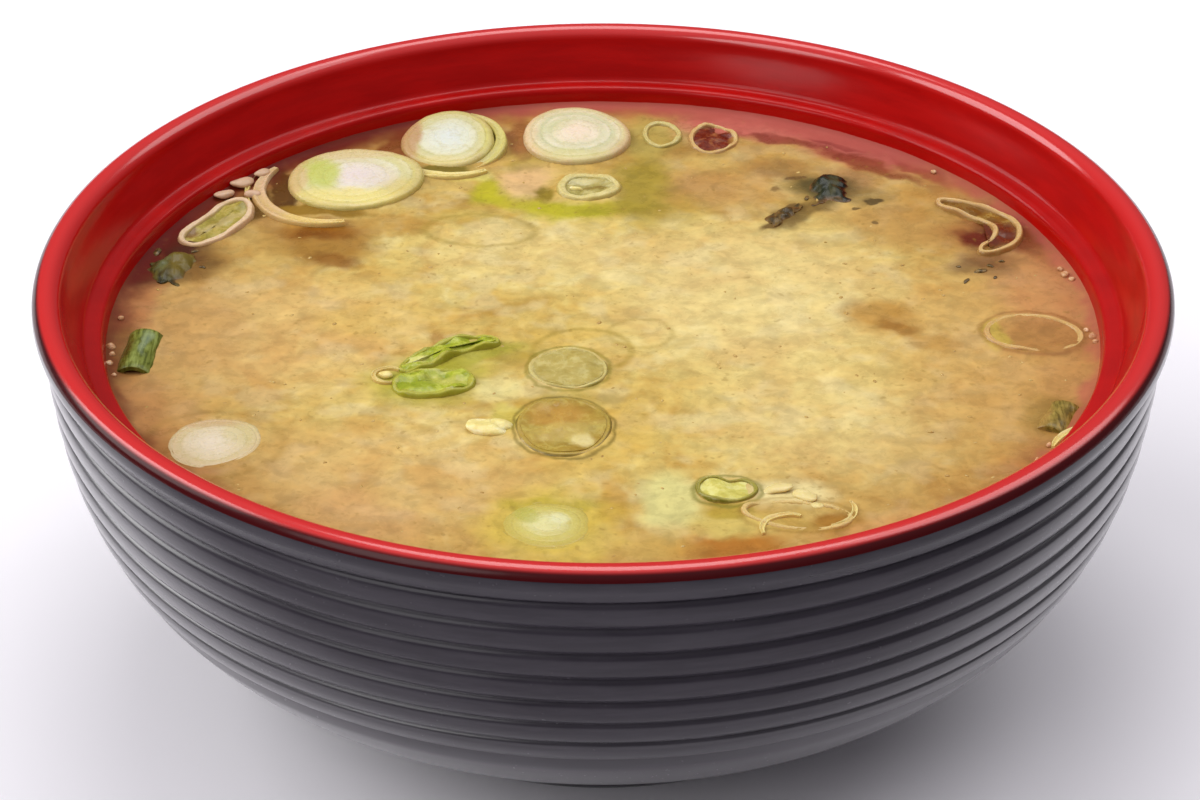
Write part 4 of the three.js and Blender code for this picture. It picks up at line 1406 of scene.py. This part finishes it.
FILM_SPOTS = {
    "ring_left": [
        (-46.6, 20, 1.3, 1.5, 45, 0.5, 0.85, (124, 84, 36)),
        (-42.4, 22.2, 4, 0.5, 45, 0.6, 0.5, (206, 182, 122)),
    ],
    "ring_middle_front": [
        (-2.2, -24.4, 1.3, 1.1, 0, 0.7, 0.7, (224, 208, 146)),
        (-4.6, -19.6, 3, 2.2, 0, 0.9, 0.6, (186, 136, 60)),
        (-4, -22.6, 4, 1.6, 10, 0.9, 0.4, (206, 184, 104)),
    ],
    "ring_rear_right": [
        (43.9, 19, 2.8, 3, 0, 0.8, 0.9, (96, 30, 10)),
        (40.6, 25.8, 2.6, 1.3, -36, 0.8, 0.75, (112, 72, 14)),
        (37.6, 24.4, 2.2, 1.8, -36, 0.8, 0.5, (158, 138, 40)),
    ],
    "ring_rear_small": [
        (-0.8, 30.4, 1.5, 0.6, 10, 0.6, 0.85, (132, 114, 46)),
        (-2.8, 32.2, 2, 0.8, 0, 0.8, 0.5, (222, 212, 160)),
    ],
}

for name, spec in RINGS.items():
    piece = make_ring(name, spec["cut"], spec["wall"])
    green = name in ("ring_middle_front", "ring_front_folded")
    painted(piece, onion_finish(name + "_onion", ring_layers(*RING_LOOKS[name]), broth=(198, 164, 92)))
    if name in FILMS:
        width, height, wave = FILMS[name]
        film = make_film(name, spec["cut"], width, spec["wall"], height - spec["lift"], wave, spec["x"])
        painted(film, film_finish(name + "_film", *FILM_LOOKS[name], spots=FILM_SPOTS.get(name, ())))
        put_together(piece, film)
    laid(piece, **place_of(spec))
    uneven = 0.5 if name in ("ring_rear_inner", "ring_rear_outer", "ring_rear_small") else 0.28
    rippled(roughened(piece, uneven, 2.0), 0.3, 2.6, spec["x"])
    finished(smoothed(piece, 50), "green_onion" if green else "pale_onion", name)

# The green curl: two bent loops side by side, with a film in each
CURL_GREEN = onion_finish(
    "green_curl",
    ring_layers((154, 154, 40), (172, 168, 58), (152, 154, 42)),
    broth=(164, 154, 56),
    spots=[(-9.4, -7.6, 2.4, 2.2, 0, 0.8, 0.7, (166, 132, 50))],
)
CURL_FILM = film_finish(
    "green_curl_film",
    (130, 142, 24),
    (158, 166, 38),
    (190, 194, 78),
    spots=[
        (-17, -10.4, 1.4, 0.6, 10, 0.7, 0.6, (206, 204, 110)),
        (-19.6, -8.4, 1.5, 0.8, 25, 0.7, 0.85, (214, 208, 122)),
        (-16.2, -12.6, 2.6, 0.9, -4, 0.7, 0.6, (196, 188, 96)),
        (-13, -6.6, 1.2, 0.5, 20, 0.6, 0.7, (204, 200, 116)),
        (-19, -13.4, 1.8, 1.2, 0, 0.8, 0.5, (132, 144, 24)),
    ],
)
CURL_LOOPS = [  # the cut, its width, the wall and the place
    (folded(12.5, 3.4, bend=-50, bend_at=0.7), 3.4, 0.8, moved(0.6, 2.6, 0) @ swung(45, "Z")),
    (folded(8.8, 5.4, bend=30), 5.4, 1.0, moved(-1.1, -2, 0) @ swung(-4, "Z")),
]
curl_rings = []
for number, (cut, width, wall, place) in enumerate(CURL_LOOPS):
    curl_rings.append(make_ring(f"curl_{number}", cut, wall))
    curl_rings[number].data.transform(place)
green_curl = painted(joined("green_curl_middle_onion", curl_rings), CURL_GREEN)
for cut, width, wall, place in CURL_LOOPS:
    film = painted(make_film("curl", cut, width, wall, -0.08, 0.4, width), CURL_FILM)
    film.data.transform(place)
    put_together(green_curl, film)
laid(green_curl, -16.6, -10.1, 0.5)
rippled(roughened(green_curl, 0.42, 1.8), 0.5, 2.2, 7.0)
finished(smoothed(green_curl, 50), "green_onion", "green_curl_middle")

TUBE_LOOKS = {
    "green_tube_left": leaf_finish(
        "green_leaf",
        (64, 74, 20),
        (104, 112, 36),
        (140, 152, 74),
        spots=[
            # The first spot darkens the tube's left side: painted shadow. The second, a pale streak along
            # the middle, is a painted highlight.
            (-50.8, -6.8, 1.2, 4, 0, 0.7, 0.7, (70, 52, 18)),
            (-48.2, -5.6, 0.5, 2.6, 0, 0.95, 0.35, (160, 178, 150)),
        ],
    ),
    "green_tube_right": leaf_finish(
        "olive_leaf",
        (92, 78, 26),
        (124, 106, 40),
        (160, 138, 66),
        spots=[(44.4, -20.4, 1, 3, -24, 0.8, 0.6, (168, 130, 66))],
    ),
}
for name, spec in TUBES.items():
    piece = make_tube(name, spec["across"], spec["high"], spec["long"], spec["wall"])
    laid(piece, **place_of(spec))
    roughened(piece, 0.25, 2.5)
    finished(painted(smoothed(piece, 40), TUBE_LOOKS[name]), "green_onion", name)

WAKAME_LOOKS = {
    "wakame_rear": leaf_finish(
        "wakame_leaf", (14, 19, 8), (30, 35, 12), (62, 59, 26), 0.8, broth=(120, 84, 44)
    ),
    "wakame_rear_strand": leaf_finish(
        "wakame_strand", (46, 36, 14), (78, 60, 24), (118, 92, 42), 0.5, broth=(118, 86, 40)
    ),
    "wakame_left": leaf_finish(
        "wakame_left_leaf",
        (30, 30, 14),
        (60, 56, 20),
        (100, 96, 38),
        0.7,
        spots=[
            (-46, 13, 1.8, 3.4, -16, 0.8, 0.8, (112, 94, 24)),
            # Painted highlight: the teal gleam on the leaf's left.
            (-48.6, 12.4, 0.8, 1.6, 0, 0.8, 0.55, (108, 112, 66)),
        ],
        broth=(96, 66, 24),
    ),
}
for name, spec in LEAVES.items():
    piece = make_leaf(name, spec["length"], spec["width"], spec["phase"], spec["wave"])
    laid(piece, **dict(place_of(spec), lift=spec["lift"] - 0.18))
    roughened(piece, 0.25, 1.6)
    finished(painted(smoothed(piece, 60), WAKAME_LOOKS[name]), "seaweed", name)

# ---- Small bits ----

SCRAP = film_finish(
    "onion_scrap",
    (218, 198, 118),
    (234, 218, 142),
    (244, 232, 176),
    spots=[
        (-41, 31, 6, 6, 0, 0.4, 0.85, (206, 166, 142)),
        (18.4, -34.2, 5, 3, 0, 0.5, 0.7, (212, 194, 134)),
    ],
)
FLECKS = film_finish("seaweed_fleck", (62, 48, 24), (96, 76, 38), (136, 108, 58), 0.8)
GRAIN = film_finish("miso_grain", (166, 130, 66), (186, 152, 84), (204, 174, 106), 6.0)
BUBBLE = film_finish("foam_bubble", (176, 122, 84), (200, 152, 108), (226, 190, 150), 0.8)
STRIP = onion_finish("onion_strip", ring_layers((208, 184, 104), (226, 208, 134), (212, 190, 110)))

scraps = smoothed(make_bits("onion_scraps", ONION_BITS, 5, 3), 60)
finished(painted(scraps, SCRAP), "white_onion", "soup")
flecks = smoothed(make_bits("seaweed_flecks", SEAWEED_BITS, 8, 3), 60)
finished(painted(flecks, FLECKS), "seaweed", "soup")

strips = []
for number, (radius, width, start, end, x, y, lift) in enumerate(CURVED_BITS):
    strip = make_strip(f"strip_{number}", curl(radius, width, start, end), width, 1.2)
    strips.append(laid(strip, x, y, lift))
put_together(*strips)
strips[0].name = "onion_strips"
rippled(roughened(strips[0], 0.15, 1.6), 0.16, 2.0, 3.0)
finished(painted(smoothed(strips[0], 50), STRIP), "pale_onion", "soup")

chance = random.Random(17)
grains = []
for _ in range(GRAIN_COUNT):
    angle, radius = chance.uniform(0, 2 * math.pi), GRAIN_REACH * math.sqrt(chance.random())
    size = chance.uniform(0.3, 0.65)
    width, turn = size * chance.uniform(0.5, 0.8), chance.uniform(0, 180)
    x, y, lift = radius * math.cos(angle), radius * math.sin(angle), chance.uniform(-0.09, -0.01)
    grains.append((x, y, size, width, size * 0.4, turn, lift))
grains = smoothed(make_bits("miso_grains", grains, 3, 2, 0), 60)
finished(painted(grains, GRAIN), "miso", "soup")

bubbles = [(x, y, 2 * radius, 2 * radius, 1.6 * radius, 0, 0.2) for x, y, radius in BUBBLES]
bubbles = smoothed(make_bits("foam_bubbles", bubbles, 2, 3, 0), 60)
finished(painted(bubbles, BUBBLE), "miso", "soup")

# ---- Floor, light and camera ----

FLOOR_SIZE = 8
SKY_OVERHEAD, SKY_ROUND = 0.62, 0.14  # how bright the room is, added overhead and all round
LAMP_AIM, LAMP_DISTANCE = Vector((0, 0, 0.03)), 1.3
SOFTBOXES = {  # degrees round from +X, degrees up, size in metres and power
    "key": (165, 35, 1.0, 9.2),
    "top": (90, 68, 0.75, 4.7),
    "right_fill": (30, 50, 0.9, 4.2),
    "front_fill": (227, 38, 0.8, 4.9),
}
CAMERA_PLACE, CAMERA_LENS = (0, -0.3156, 0.21866), 102
CAMERA_DOWN, CAMERA_YAW = math.radians(31.09), math.radians(0.059)

put_down()
bpy.ops.mesh.primitive_plane_add(size=FLOOR_SIZE, location=(0, 0, 0))
floor = bpy.context.object
floor.name = "floor"
paper, w, body = new_finish("pale_floor")
w.feed(body["Base Color"], w.mixed(w.cloud(w.place(), 40, 2.0), (246, 243, 248), (250, 247, 251)))
body["Roughness"].default_value = 0.7
floor.data.materials.append(paper)

world = bpy.data.worlds.new("pale_room")
world.use_nodes = True
w = Wiring(world.node_tree)
sky = world.node_tree.nodes["Background"].inputs
height = w.add("SeparateXYZ", Vector=w.add("TexCoord").outputs["Generated"]).outputs["Z"]
height = w.maths("MULTIPLY", height, w.maths("MAXIMUM", height, 0.0))
w.feed(sky["Strength"], w.maths("MULTIPLY_ADD", height, SKY_OVERHEAD, SKY_ROUND))
w.feed(sky["Color"], srgb(250, 247, 254))
bpy.context.scene.world = world

for name, (around, up, size, power) in SOFTBOXES.items():
    around, up = math.radians(around), math.radians(up)
    way = Vector((math.cos(up) * math.cos(around), math.cos(up) * math.sin(around), math.sin(up)))
    put_down()
    bpy.ops.object.light_add(type="AREA", location=LAMP_AIM + way * LAMP_DISTANCE)
    lamp = bpy.context.object
    lamp.name = name
    lamp.data.shape = "DISK"
    lamp.data.size = size
    lamp.data.energy = power
    lamp.rotation_euler = (-way).to_track_quat("-Z", "Y").to_euler()

put_down()
bpy.ops.object.camera_add(location=CAMERA_PLACE)
camera = bpy.context.object
level = math.cos(CAMERA_DOWN)
look = Vector((-math.sin(CAMERA_YAW) * level, math.cos(CAMERA_YAW) * level, -math.sin(CAMERA_DOWN)))
camera.rotation_euler = look.to_track_quat("-Z", "Y").to_euler()
camera.data.sensor_width = 36
camera.data.lens = CAMERA_LENS
camera.data.clip_start = 0.01
bpy.context.scene.camera = camera
bpy.context.scene.view_settings.view_transform = "Standard"

put_down()
